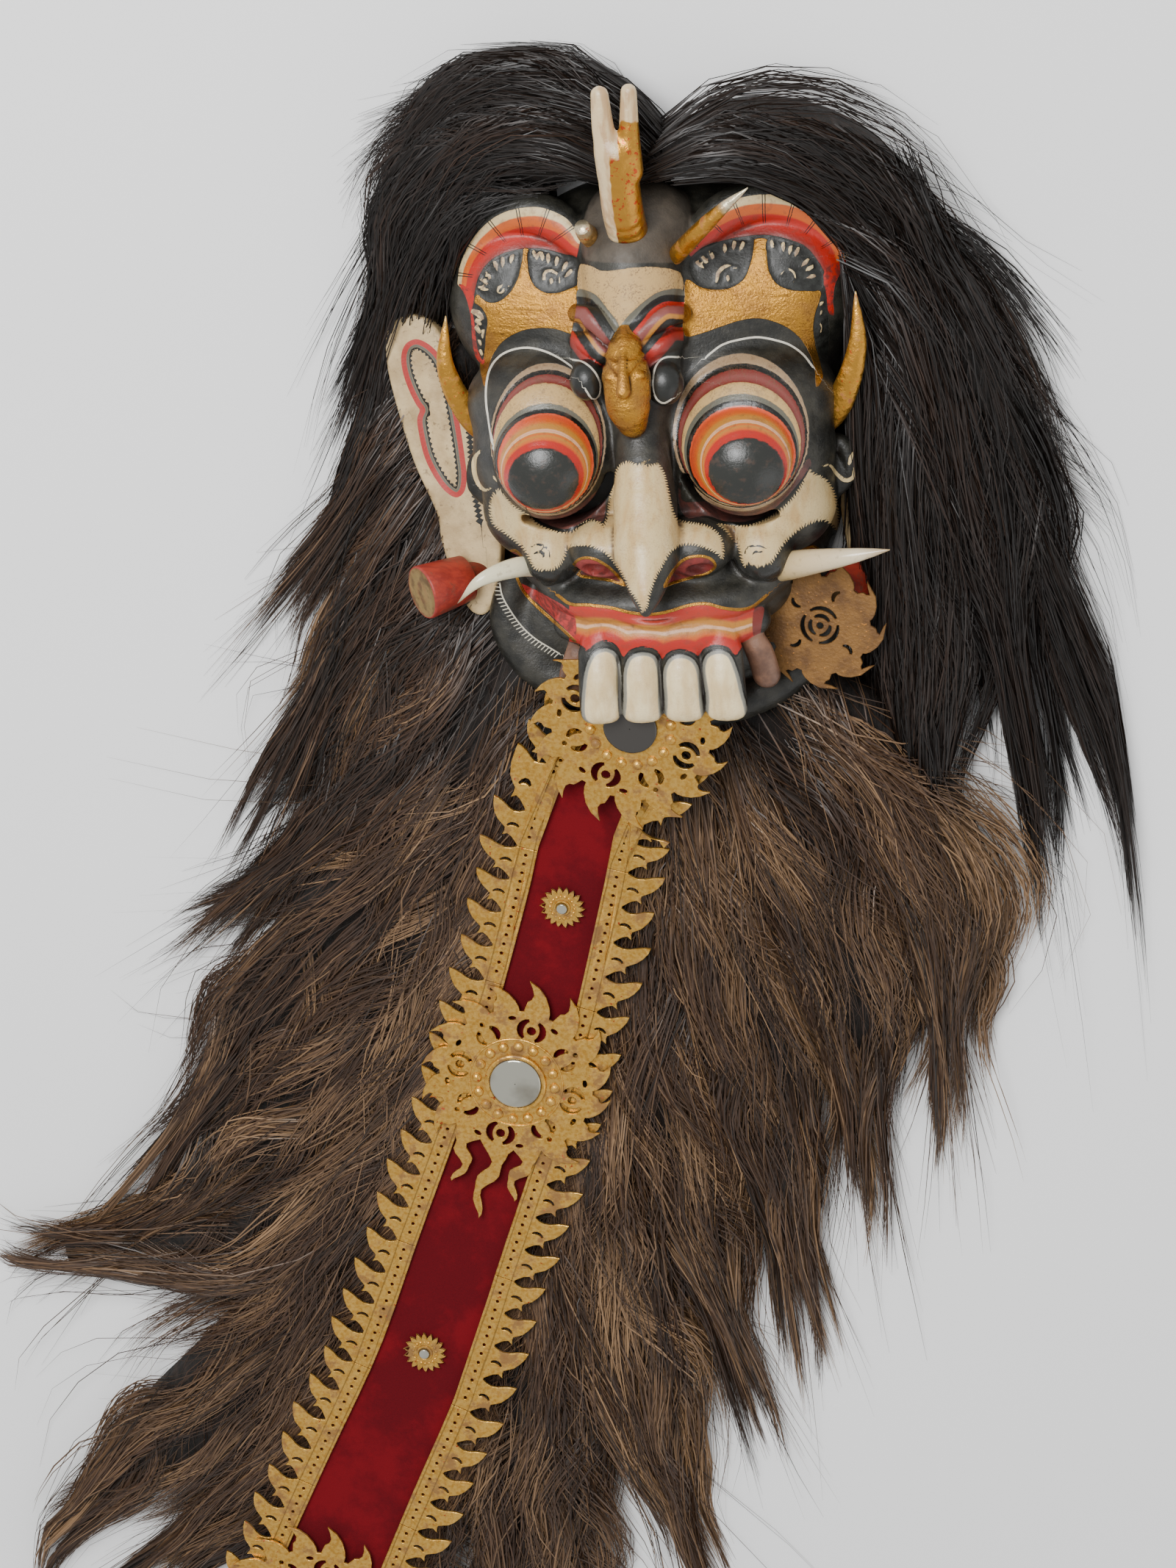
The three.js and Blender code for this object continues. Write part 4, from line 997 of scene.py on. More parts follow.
region("corner_left", EYE_LEFT, [(632, 1215), (655, 1208), (690, 1240), (716, 1280), (690, 1275),
                                 (650, 1262)],
       ["jaw", "muzzle", "skull", "cheeks"])
region("corner_right", EYE_RIGHT, [(700, 1250), (760, 1205), (810, 1190), (828, 1205), (790, 1225),
                                   (740, 1240)],
       ["jaw", "muzzle", "skull", "cheeks"])
marks("hook_lines", [(EYE_LEFT, [(500, 765), (478, 792), (474, 850), (490, 905), (522, 938), (556, 925)],
    [0.8, 1.5, 1.4, 1.2, 0.3]), (EYE_LEFT, [(562, 880), (590, 905), (600, 920)], [0.9, 0.7, 0.2]),
    (EYE_LEFT, [(488, 1045), (505, 1065), (530, 1085)], [0.7, 0.8, 0.5]), (EYE_RIGHT, [(848, 830),
    (880, 828), (910, 866), (950, 895), (982, 880), (986, 838)], [0.5, 0.9, 1.2, 1.2, 0.6]), (EYE_RIGHT,
    [(966, 822), (972, 795), (982, 768)], [0.9, 1.2, 0.5]),], ["hooks", "skull", "cheeks", "mounds"])
layers["boss"] = np.stack([only(["boss"]), 0 * crease, 0 * crease], 1)
layers["balls"] = np.stack([only(["balls"]), 0 * crease, 0 * crease], 1)
layers["knobs"] = np.stack([only(["knobs"]), np.clip((-60 - points[:, 1]), -20, 20), 0 * crease], 1)

# The carved mask: low relief that follows the paint
lift = np.zeros(len(points))
for key in ("ring_left", "ring_right"):
    value = layers[key][:, 0]
    steps = np.interp(value, [0, 1, 1.15, 5.9, 6.1, 8.9, 9.1, 10.9, 11.1, 12, 13],
                      [0.6, 0.6, 0.2, 0.2, 1.0, 1.1, 0.2, 0.2, 0.9, 0.9, 0])
    lift += np.where(layers[key][:, 2] > 0, steps, 0)
for key in ("oval_1", "oval_2", "oval_3", "oval_4"):
    lift -= 1.2 * np.clip(layers[key][:, 0] / 1.5 + 0.5, 0, 1)
lift += 0.9 * np.clip(layers["fangs"][:, 0] / 0.8 + 0.5, 0, 1)
lift += 0.9 * np.clip(layers["band"][:, 0] / 1.2 + 0.5, 0, 1)
for key in ("fan_left", "fan_right"):
    d = np.abs(layers[key][:, 0])
    lift += np.where(layers[key + "_area"][:, 0] > 0, np.interp(d, [0, 4, 4.6, 9, 9.6, 17, 17.6, 24, 24.6],
                                                                [0, 0, -0.6, -0.6, 0.5, 0.5, -0.6, -0.6,
                                                                 0.6]), 0)
points = points + normals * np.where(behind, 0, lift)[:, None]

attributes = {**layers, "crease": crease}
front_faces = ~behind[quads].all(1)


def compact(faces):
    """The points that the faces use, and the faces numbered by them."""
    used = np.unique(faces)
    number = np.full(len(points), -1)
    number[used] = np.arange(len(used))
    return used, number[faces]


# The carved mask: material
def touched(key, ids):
    """Whether a painted layer shows on these points."""
    x, y, z = layers[key][ids].T
    if key in ("gum", "arch_left", "arch_right"):
        return bool((z > -1).any())
    if key.startswith("ring"):
        return bool(((x < 12.4) & (z > -1)).any())
    if key in ("fan_left", "fan_right"):
        return touched(key + "_area", ids)
    if key == "whiskers":
        return bool(((x > -2) & (x < 6) & (z > -1)).any())
    if key == "knobs":
        return bool(((x > -1) & (y > -4)).any())
    if key == "teeth":
        return bool(((x > -2) & (z > -1)).any())
    if key in ("lip_line", "jaw_line", "arc_left", "arc_right", "ball_line_left", "ball_line_right"):
        return bool(((np.abs(x) < 3.2) & (z > -1)).any())
    return bool((x > -2.6).any())


def painted_wood(name, here):
    s = Shader(name)
    worn = s.noise(220, 4, 0.6)
    mottle = s.noise(60, 4, 0.6)
    wobble = s.shake(0.5, 330, 2)
    crease_at = s.attribute("crease").outputs["Fac"]
    base = s.mix(s.span(mottle, 0.35, 0.7), BLACK, (0.040, 0.037, 0.028))
    base = s.mix(s.times(s.span(s.noise(1400, 3, 0.6), 0.56, 0.72), 0.35), base, (0.09, 0.08, 0.06))
    state = {"colour": base, "finish": (0.42, 0.0, 0.35)}
    made = {}

    def lay(fac, colour, finish):
        state["colour"] = s.mix(fac, state["colour"], colour)
        state["finish"] = s.mix(fac, state["finish"], finish)

    def channel(key):
        return s.parts(s.attribute(key).outputs["Vector"])

    def area(key, colour, finish, soft=0.14, grow=0.0, rough_edge=1.0, fringe=None):
        if key not in here:
            return
        x, y, _ = channel(key)
        d = s.plus(x, s.math("MULTIPLY_ADD", wobble, rough_edge, grow))
        if fringe is not None:
            long, pitch, slant = fringe
            phase = s.plus(s.over(y, pitch), s.times(x, slant))
            phase = s.plus(phase, s.times(s.noise(260, 2), 1.6))
            saw = s.math("PINGPONG", phase, 0.5)
            d = s.minus(d, s.times(s.math("POWER", s.times(saw, 2), 1.6), long))
        lay(s.span(d, -soft, soft), colour() if callable(colour) else colour, finish)

    def stroke(key, half, colour, finish, soft=0.12):
        if key not in here:
            return
        x, _, z = channel(key)
        d = s.minus(half, s.size(s.plus(x, s.times(wobble, 0.5))))
        fac = s.times(s.span(d, -soft, soft), s.span(z, -0.1, 0.1))
        lay(fac, colour() if callable(colour) else colour, finish)

    paint = (0.40, 0.0, 0.2)
    matt = (0.62, 0.0, 0.3)
    leaf = (0.30, 0.92, 1.0)

    def once(build):
        def get():
            if build.__name__ not in made:
                made[build.__name__] = build()
            return made[build.__name__]
        return get

    @once
    def speckle():
        return s.times(s.span(s.noise(900, 3, 0.7), 0.50, 0.60), s.span(s.noise(150, 3), 0.36, 0.62))

    @once
    def cream():
        streak = s.noise(90, 3, 0.6, stretch=(1.6, 0.35, 1.0))
        c = s.mix(s.span(streak, 0.35, 0.75), PALE, CREAM)
        # Painted shade: the cream turns brown in creases.
        c = s.mix(s.times(s.span(crease_at, 0.30, 0.85), 0.85), c, (0.14, 0.075, 0.04))
        return s.mix(s.times(speckle(), 0.35), c, (0.27, 0.16, 0.085))

    @once
    def gilt():
        g = s.mix(s.span(s.noise(70, 4, 0.65), 0.35, 0.68), GOLD, (0.42, 0.20, 0.045))
        g = s.mix(s.times(s.span(s.noise(420, 3, 0.7), 0.55, 0.68), 0.7), g, (0.20, 0.085, 0.02))
        # Painted shade: the gilt turns dark brown in creases.
        return s.mix(s.times(s.span(crease_at, 0.35, 0.9), 0.8), g, (0.10, 0.045, 0.015))

    dome = lambda: s.mix(s.span(mottle, 0.3, 0.7), (0.042, 0.034, 0.025), (0.085, 0.068, 0.050))
    area("dome", dome, matt, 0.8)
    for key in ("gilt_left", "gilt_right"):
        area(key, gilt, leaf)
    for key, offset in (("arch_left", 3.0), ("arch_right", 7.0)):
        if key not in here:
            continue
        x, y, z = channel(key)
        wob = s.plus(x, s.times(wobble, 0.05))
        band = s.ramp(wob, [(0.0, PALE), (0.2, PALE), (0.235, ORANGE), (0.46, ORANGE), (0.50, RED),
                            (0.78, RED), (1.0, DARK_RED)])
        step = s.math("FRACT", s.over(s.plus(y, offset), 19.0))
        pair = s.math("MINIMUM", s.size(s.minus(step, 0.44)), s.size(s.minus(step, 0.53)))
        tick = s.times(s.span(pair, 0.012, 0.022, 1, 0), s.span(x, 0.66, 0.78, 1, 0))
        band = s.mix(tick, band, BLACK)
        band = s.mix(s.times(s.span(worn, 0.52, 0.66), 0.35), band, (0.16, 0.05, 0.03))
        lay(s.span(s.plus(z, wobble), -0.15, 0.15), band, paint)
    for key in ("tail_left", "tail_right"):
        area(key, lambda: s.mix(s.span(worn, 0.45, 0.6), RED, DARK_RED), paint)
    for key in ("side_left", "side_right", "oval_1", "oval_2", "oval_3", "oval_4"):
        area(key, lambda: s.mix(s.span(worn, 0.4, 0.65), BLACK, SLATE), paint)
    area("fangs", lambda: s.mix(s.span(worn, 0.42, 0.6), PALE, (0.30, 0.20, 0.12)), paint, 0.12, 0, 0.6)
    area("band", lambda: s.mix(s.times(speckle(), 0.8), CREAM, (0.17, 0.10, 0.055)), matt, 0.2, 0, 2.4)
    fans = {
        "fan_left": [(0.0, GREY), (0.11, GREY), (0.125, BLACK), (0.29, BLACK), (0.31, DARK_RED),
                     (0.36, MAUVE), (0.54, MAUVE),
                     (0.57, OCHRE), (0.615, OCHRE), (0.64, BLACK), (0.78, BLACK), (0.80, RED),
                     (0.97, DARK_RED), (0.99, SLATE)],
        "fan_right": [(0.0, GREY), (0.08, GREY), (0.095, BLACK), (0.21, BLACK), (0.225, RED), (0.29, RED),
                      (0.32, MAUVE), (0.45, MAUVE),
                      (0.48, OCHRE), (0.54, OCHRE), (0.57, BLACK), (0.70, BLACK), (0.72, RED),
                      (0.96, DARK_RED), (0.98, SLATE)],
    }
    for key, stops in fans.items():
        if key not in here:
            continue
        x, _, _ = channel(key)
        depth = s.over(s.plus(s.size(x), wobble), 31.0)
        area(key + "_area", s.ramp(depth, stops), paint)
    area("cheek_left", cream, paint, fringe=(2.4, 1.9, 0.25))
    area("cheek_right", cream, paint, fringe=(2.4, 1.9, 0.25))
    area("nose", cream, (0.30, 0.0, 0.15), fringe=(2.2, 1.7, 0.2))
    for key in ("lid_left", "lid_right"):
        area(key, lambda: s.mix(s.span(worn, 0.4, 0.6), (0.13, 0.045, 0.035), (0.075, 0.035, 0.03)), paint,
             0.3)
    for key in ("ring_left", "ring_right"):
        if key not in here:
            continue
        x, _, z = channel(key)
        value = s.over(s.plus(x, s.times(wobble, 0.25)), 13.0)
        hot = (0.62, 0.075, 0.02)
        white = (0.66, 0.38, 0.22)
        n = lambda k: k / 13.0
        stops = [(0.0, SLATE), (n(0.99), SLATE), (n(1.04), RED), (n(1.85), RED), (n(2.1), ORANGE),
            (n(2.75), OCHRE), (n(3.1), ORANGE), (n(3.35), OCHRE), (n(3.45), white), (n(3.62), white),
            (n(3.72), (0.62, 0.2, 0.12)), (n(3.82), white), (n(3.98), white), (n(4.15), OCHRE),
            (n(4.8), OCHRE), (n(5.2), ORANGE), (n(5.6), hot), (n(5.97), hot), (n(6.02), BLACK),
            (n(6.97), BLACK), (n(7.03), GREY), (n(7.95), GREY), (n(8.03), CREAM), (n(8.97), CREAM),
            (n(9.03), DARK_RED), (n(9.5), MAUVE), (n(9.97), DARK_RED), (n(10.02), BLACK),
            (n(10.98), BLACK), (n(11.04), (0.34, 0.23, 0.13)), (n(11.97), (0.34, 0.23, 0.13)),
            (n(12.02), BLACK)]
        colour = s.ramp(value, stops)
        colour = s.mix(s.times(s.span(worn, 0.52, 0.7), 0.35), colour, (0.10, 0.05, 0.03))
        colour = s.mix(s.times(s.times(speckle(), 0.5), s.span(value, 0.6, 0.62)), colour, (0.15, 0.09, 0.05))
        lay(s.times(s.span(value, n(12.0), n(12.04), 1, 0), s.span(z, -0.1, 0.1)), colour, (0.24, 0.0, 0.12))
    area("balls", (0.012, 0.013, 0.011), (0.34, 0.0, 0.05))
    for key in ("arc_left", "arc_right"):
        stroke(key, 0.62, (0.66, 0.62, 0.52), paint)
    for key in ("ball_line_left", "ball_line_right"):
        stroke(key, 0.55, (0.62, 0.58, 0.48), paint)
    area("boss", gilt, leaf)
    if "knobs" in here:
        x, y, _ = channel("knobs")
        tip = s.plus(y, s.shake(12, 500, 2, stretch=(1, 0.15, 0.15)))
        lay(s.times(s.span(tip, 1.0, 2.6), s.span(x, -0.1, 0.1)), (0.02, 0.019, 0.016), (0.2, 0.0, 0.1))
    for key in ("nostril_left", "nostril_right"):
        area(key, gilt, leaf)
        area(key, lambda: s.mix(s.span(mottle, 0.4, 0.6), (0.10, 0.015, 0.012), (0.25, 0.03, 0.025)), matt,
             0.2, -1.7)
    if "gum" in here:
        x, y, z = channel("gum")
        wave = s.plus(x, s.times(wobble, 0.06))
        skin = (0.66, 0.38, 0.22)
        bands = s.ramp(wave, [(0.0, RED), (0.28, (0.42, 0.04, 0.02)), (0.36, OCHRE), (0.47, OCHRE),
                              (0.50, skin), (0.55, skin),
                              (0.58, OCHRE), (0.70, ORANGE), (0.76, RED), (0.955, RED), (0.965, BLACK),
                              (1.0, BLACK)])
        bands = s.mix(s.times(s.span(worn, 0.5, 0.65), 0.3), bands, (0.15, 0.05, 0.03))
        lay(s.span(z, -0.15, 0.15), bands, paint)
    if "teeth" in here:
        x, _, z = channel("teeth")
        bone = s.mix(s.span(s.noise(130, 3, stretch=(1, 0.3, 1)), 0.35, 0.7), (0.86, 0.70, 0.40),
                     (0.68, 0.50, 0.25))
        bone = s.mix(s.times(speckle(), 0.18), bone, (0.30, 0.22, 0.14))
        shade = s.ramp(s.over(s.plus(x, s.times(wobble, 1.5)), 10.0),
                       [(0.0, BLACK), (0.05, BLACK), (0.09, (0.19, 0.185, 0.155)), (0.24, (0.24, 0.23, 0.19)),
                        (0.30, (0.5, 0.45, 0.34)), (1.0, (1, 1, 1))])
        both = s.mix(s.span(x, 2.6, 3.3), shade, bone)
        lay(s.times(s.span(x, -0.6, -0.3), s.span(z, -0.1, 0.1)), both, (0.3, 0.0, 0.12))
    area("molars", lambda: s.mix(s.span(mottle, 0.4, 0.6), (0.20, 0.10, 0.06), (0.11, 0.055, 0.035)), paint,
         0.5)
    area("jaw_red", lambda: s.mix(s.span(worn, 0.45, 0.6), (0.42, 0.035, 0.03), DARK_RED), paint)
    area("jaw_red_right", DARK_RED, paint)
    for key in ("corner_left", "corner_right"):
        area(key, gilt, leaf, 0.2, 0.9)
        area(key, DARK_RED, matt, 0.2, -0.6)
    stroke("jaw_line", 0.9, gilt, leaf)
    stroke("lip_line", 0.95, gilt, leaf)
    if "whiskers" in here:
        x, y, z = channel("whiskers")
        comb = s.math("PINGPONG", s.plus(s.over(y, 2.3), s.times(x, 0.12)), 0.5)
        spine = s.times(s.span(comb, 0.10, 0.16, 1, 0), s.times(s.span(x, -0.4, 0.0), s.span(x, 3.2, 4.2, 1,
            0)))
        long = s.times(s.span(y, 1.0, 3.0), s.span(y, 104, 106, 1, 0))
        line = s.span(s.size(x), 0.35, 0.5, 1, 0)
        fac = s.times(s.most(spine, line), s.times(long, s.span(z, -0.1, 0.1)))
        lay(fac, (0.62, 0.58, 0.46), paint)
    area("hook_lines", PALE, paint, 0.12, 0, 0.5)
    area("ink", BLACK, paint, 0.12, 0, 0.5)

    # Painted shade: deep creases are darkened to near black over all the paint.
    crease_shade = s.times(s.span(crease_at, 0.5, 1.0), 0.7)
    colour = s.mix(crease_shade, state["colour"], (0.02, 0.014, 0.01))
    finish = s.parts(state["finish"])
    ripple = s.noise(120, 3, 0.5, stretch=(0.45, 1.5, 1.0), lift=0.6)
    relief = s.plus(s.times(s.noise(700, 4, 0.6), s.plus(finish[2], 0.15)),
                    s.times(ripple, s.times(finish[2], 1.6)))
    normal = s.bump(relief, 0.55, 0.0011)
    rough = s.plus(finish[0], s.times(s.minus(worn, 0.45), 0.5), clamp=True)
    return s.finish(colour, rough, finish[1], normal, Coat_Weight=0.06, Coat_Roughness=0.25)


def raw_wood():
    s = Shader("carved_wood_back")
    grain = s.noise(60, 4, 0.6, stretch=(3.0, 0.25, 3.0), lift=0.5)
    colour = s.mix(s.span(grain, 0.3, 0.7), WOOD, (0.16, 0.095, 0.05))
    colour = s.mix(s.span(s.noise(18, 3), 0.55, 0.8), colour, (0.08, 0.05, 0.03))
    return s.finish(colour, 0.75, 0.0, s.bump(s.plus(grain, s.cells(70)), 0.5, 0.001))


# Cycles has room for few layers at once, so the face is parted until each part has few enough
MOST_LAYERS = 9


def part(faces, deep=0):
    ids = np.unique(faces)
    here = [key for key in layers if touched(key, ids)]
    if len(here) <= MOST_LAYERS or deep > 7 or len(faces) < 200:
        return [(faces, here)]
    middle = view[faces].mean(1)
    axis = int(np.ptp(middle[:, 1]) > np.ptp(middle[:, 0]))
    low = middle[:, axis] < np.median(middle[:, axis])
    return part(faces[low], deep + 1) + part(faces[~low], deep + 1)


used, faces = compact(quads[~front_faces])
mesh_piece("mask_back", points[used], faces, ["mask"], {}, raw_wood())
shared = {}
ordered, slots = [], []
for some, here in part(quads[front_faces]):
    key = tuple(here)
    if key not in shared:
        shared[key] = len(shared)
    ordered.append(some)
    slots.append(np.full(len(some), shared[key]))
used, faces = compact(np.vstack(ordered))
mask_face = mesh_piece("mask_face", points[used], faces, ["mask"],
                       {k: v[used] for k, v in attributes.items()})
for key in shared:
    mask_face.data.materials.append(painted_wood(f"painted_wood_{shared[key]}", key))
mask_face.data.polygons.foreach_set("material_index", np.concatenate(slots).astype(np.int32))


# Shapes swept and turned
def tube_of(points, radii, flat=1.0, sides=26, steps=46, closed=False):
    """A rod along a curve as points, triangles and, for each point, how far along and its turn."""
    line = spread(smooth(points, 12, closed), steps)
    tangent = unit(np.gradient(line, axis=0))
    side = unit(np.cross(tangent, [0, 0, 1.0]), 1e-6)
    up = np.cross(side, tangent)
    t = np.linspace(0, 1, steps)
    reach = profile(radii, t)
    turns = full_turn(sides)
    ring = line[:, None] + reach[:, None, None] * (
        np.cos(turns)[None, :, None] * side[:, None] + flat * np.sin(turns)[None, :, None] * up[:, None])
    verts, faces = capped(ring, line)
    along = np.r_[np.repeat(t, sides), 0, 1]
    turn_at = np.r_[np.tile(turns, steps), 0, 0]
    return verts, faces, np.stack([along, turn_at, 0 * along], 1)


def joined(parts):
    """Several meshes as one."""
    verts, faces, extra, start = [], [], [], 0
    for v, f, e in parts:
        verts.append(v)
        faces.append(f + start)
        extra.append(e)
        start += len(v)
    return np.vstack(verts), np.vstack(faces), np.vstack(extra)


def turned(foot, tip, profile, sides=56):
    """A lathe shape from foot to tip: profile is (height, radius)."""
    foot, tip = np.array(foot, float), np.array(tip, float)
    axis = (tip - foot) / np.linalg.norm(tip - foot)
    u = np.cross(axis, [0.0, 1.0, 0.3])
    u /= np.linalg.norm(u)
    v = np.cross(axis, u)
    turns = full_turn(sides)
    h = np.array([p[0] for p in profile])
    r = np.array([p[1] for p in profile])
    ring = foot + h[:, None, None] * axis + r[:, None, None] * (
        np.cos(turns)[None, :, None] * u + np.sin(turns)[None, :, None] * v)
    n = len(profile)
    extra = np.stack([np.repeat(h, sides), np.repeat(r, sides), np.tile(turns, n)], 1)
    return ring.reshape(-1, 3), triangles(grid_quads(n, sides, flip=True)), extra


def horn_paint(name, stops, rough, metal_from=None, metal=0.0, seed_scale=60.0, gilt=False):
    s = Shader(name)
    x, _, _ = s.parts(s.attribute("way").outputs["Vector"])
    shift = s.shake(0.14, seed_scale, 3)
    at = s.plus(x, shift)
    colour = s.ramp(at, stops)
    worn = s.noise(160, 4, 0.6)
    if gilt:
        colour = s.mix(s.span(worn, 0.55, 0.72), colour, (0.30, 0.10, 0.03))
        colour = s.mix(s.span(s.noise(420, 2), 0.64, 0.74), colour, (0.62, 0.10, 0.02))
        shine = s.span(worn, 0.52, 0.68, 0.85, 0.1)
        normal = s.bump(s.plus(s.noise(260, 4, 0.6), s.noise(90, 2)), 0.6, 0.0012)
        return s.finish(colour, s.span(worn, 0.4, 0.7, 0.28, 0.5), s.times(shine, s.span(at,
            metal_from or 0.0, (metal_from or 0.0) + 0.02)),
                        normal)
    colour = s.mix(s.times(s.span(s.noise(300, 4, stretch=(1, 1, 0.4)), 0.55, 0.75), 0.35), colour,
                   (0.16, 0.10, 0.05))
    return s.finish(colour, rough, metal, s.bump(s.noise(220, 3), 0.2, 0.0006), Coat_Weight=0.3,
                    Coat_Roughness=0.12)


BONE = (0.58, 0.42, 0.20)
IVORY = (0.76, 0.70, 0.48)
tusk_white = horn_paint("tusk_white", [(0.0, (0.4, 0.32, 0.2)), (0.14, IVORY), (0.72, IVORY),
                                       (0.86, (0.62, 0.52, 0.33)),
                                       (1.0, (0.17, 0.10, 0.05))], 0.25)
tusk_cream = horn_paint("tusk_cream", [(0.0, (0.34, 0.26, 0.15)), (0.2, BONE), (0.8, (0.74, 0.62, 0.42)),
                                       (1.0, (0.4, 0.28, 0.15))], 0.18)
gilt_blade = horn_paint("gilt_blade", [(0.0, (0.10, 0.05, 0.02)), (0.05, GOLD), (0.9, (0.54, 0.27, 0.04)),
                                       (1.0, (0.62, 0.45, 0.18))],
                        0.3, 0.02, gilt=True)
gilt_tipped = horn_paint("gilt_tipped", [(0.0, GOLD), (0.7, (0.54, 0.27, 0.04)), (0.78, (0.74, 0.66, 0.46)),
                                         (1.0, (0.70, 0.60, 0.40))],
                         0.3, 0.0, gilt=True)


def horn_piece(node, points, radii, material, flat=1.0, more=()):
    parts = [tube_of(points, radii, flat)] + list(more)
    verts, faces, way = joined(parts)
    return mesh_piece(node, verts, faces, [node], {"way": way}, material)


horn_piece("tusk_left", [[-72, -66, 74], [-86, -60, 96], [-106, -64, 110], [-121, -78, 108]],
           [6.4, 6.5, 6.4, 6.3, 5.9, 5.2, 4.2, 2.9, 1.4, 0.2], tusk_white, 0.8)
horn_piece("tusk_right", [[66, -72, 72], [88, -64, 92], [114, -58, 104], [141, -53, 110]],
           [9, 8.9, 8.7, 8.2, 7.4, 6.5, 5.4, 4.1, 2.4, 0.3], tusk_cream)
horn_piece("horn_right", [[20, 120, 76], [36, 136, 96], [54, 152, 106], [70, 164, 110]],
           [5, 5.4, 5.4, 5.2, 5, 4.6, 4, 3.2, 2, 0.3], gilt_tipped, 1.0)
horn_piece("side_horn_left", [[-95, 4, 40], [-112, 24, 58], [-124, 58, 68], [-121, 90, 70]],
           [7.2, 8, 8.4, 8.2, 7.6, 6.8, 5.8, 4.4, 2.6, 0.3], gilt_blade, 0.6)
horn_piece("side_horn_right", [[92, 4, 40], [110, 24, 58], [124, 60, 68], [125, 94, 70]],
           [7.2, 8, 8.4, 8.2, 7.6, 6.8, 5.8, 4.4, 2.6, 0.3], gilt_blade, 0.6)
horn_piece("horn_stub_left", [[-27, 130, 70], [-30, 138, 84], [-31, 143, 92]], [6, 6, 5.8, 5.9, 5.4, 4.6],
    horn_paint("stub_gold", [(0.0, GOLD), (0.75, (0.6, 0.36, 0.12)), (0.85, (0.7, 0.55, 0.33)), (1.0,
    (0.72, 0.6, 0.4))], 0.3, 0.0, gilt=True))

# The centre horn: a gilt body with two cream prongs
HORN_AT = [[-5, 128, 74], [-6, 150, 92], [-6, 186, 104]]
centre_forms = [(rod(HORN_AT, [12, 12.2, 11.8], 0.72), 0, False), (rod([[-9, 176, 102], [-12, 200, 106],
    [-12.5, 221, 108]], [7.6, 6.6, 5.2], 0.8), 3, False), (rod([[2, 176, 102], [3, 200, 106],
    [4.5, 222, 108]], [7.0, 5.8, 4.6], 0.8), 3, False),]
verts, faces, _ = surface(centre_forms, [-24, 112, 58], [16, 232, 124], 1.5)
way = np.stack([(verts[:, 1] - 120) / 105, verts[:, 0] + 5, verts[:, 2]], 1)
s = Shader("centre_horn")
x, y, z = s.parts(s.attribute("way").outputs["Vector"])
wave = s.plus(x, s.shake(0.22, 70, 3))
across = s.plus(y, s.shake(5, 60, 2))
bone = s.mix(s.span(s.noise(180, 3, stretch=(1, 0.2, 1)), 0.4, 0.6), (0.66, 0.50, 0.28), (0.50, 0.32, 0.16))
leafed = s.times(s.span(wave, 0.60, 0.64, 1, 0), s.span(across, -5.5, -4.6))
leafed = s.most(leafed, s.times(s.span(wave, 0.78, 0.8, 1, 0), s.span(across, 0.6, 1.4)))
gold = s.mix(s.span(s.noise(330, 2), 0.58, 0.66), (0.54, 0.26, 0.035), (0.55, 0.07, 0.015))
colour = s.mix(leafed, bone, gold)
colour = s.mix(s.span(x, 0.10, 0.14, 1, 0), colour, BLACK)
normal = s.bump(s.plus(s.noise(260, 4, 0.6), s.noise(100, 2)), 0.45, 0.0011)
horn_mat = s.finish(colour, 0.32, s.times(leafed, 0.85), normal, Coat_Weight=0.15)
mesh_piece("horn_centre", verts, faces, ["horn_centre"], {"way": way}, horn_mat)

# Ears, painted on the same drawing sheets as the face
EAR_OUTLINE = [[-126, -104], [-133, -94], [-143, -58], [-144, -42], [-156, -8], [-164, 27], [-168, 56],
    [-166, 74], [-158, 84], [-144, 84], [-132, 72], [-126, 44], [-106, 10], [-104, -54], [-112, -96],
    [-119, -105]]


def ear_forms(side, seat):
    line = [[-side * x, y] for x, y in EAR_OUTLINE]
    if side > 0:
        line = line[::-1]
    at = lambda x, y, h: [-side * x, y, seat + 13 + (-abs(x) + 106) * 0.1 + h]
    return [
        (plank(line, [side * 106, 0, seat + 6.5], 6.5, side * 0.1, 2.2), 0, False),
        (rod([at(-153, 58, 6), at(-150, 24, 6.4), at(-141, -12, 6.6), at(-133, -30, 6.8)], [8, 9.5, 9.5, 7]),
         2.5, True),
    ]


def cut_by_face(forms, gap):
    """Takes the carved face, with a gap round it, out of the forms."""
    face = [(form, k, False) for group in ("skull", "mounds", "cheeks", "hooks") for form, k in GROUPS[group]]
    block = lambda p: field_at(p.reshape(-1, 3), face).reshape(p.shape[:-1]) - gap
    return forms + [(endless(block), 0, True)]


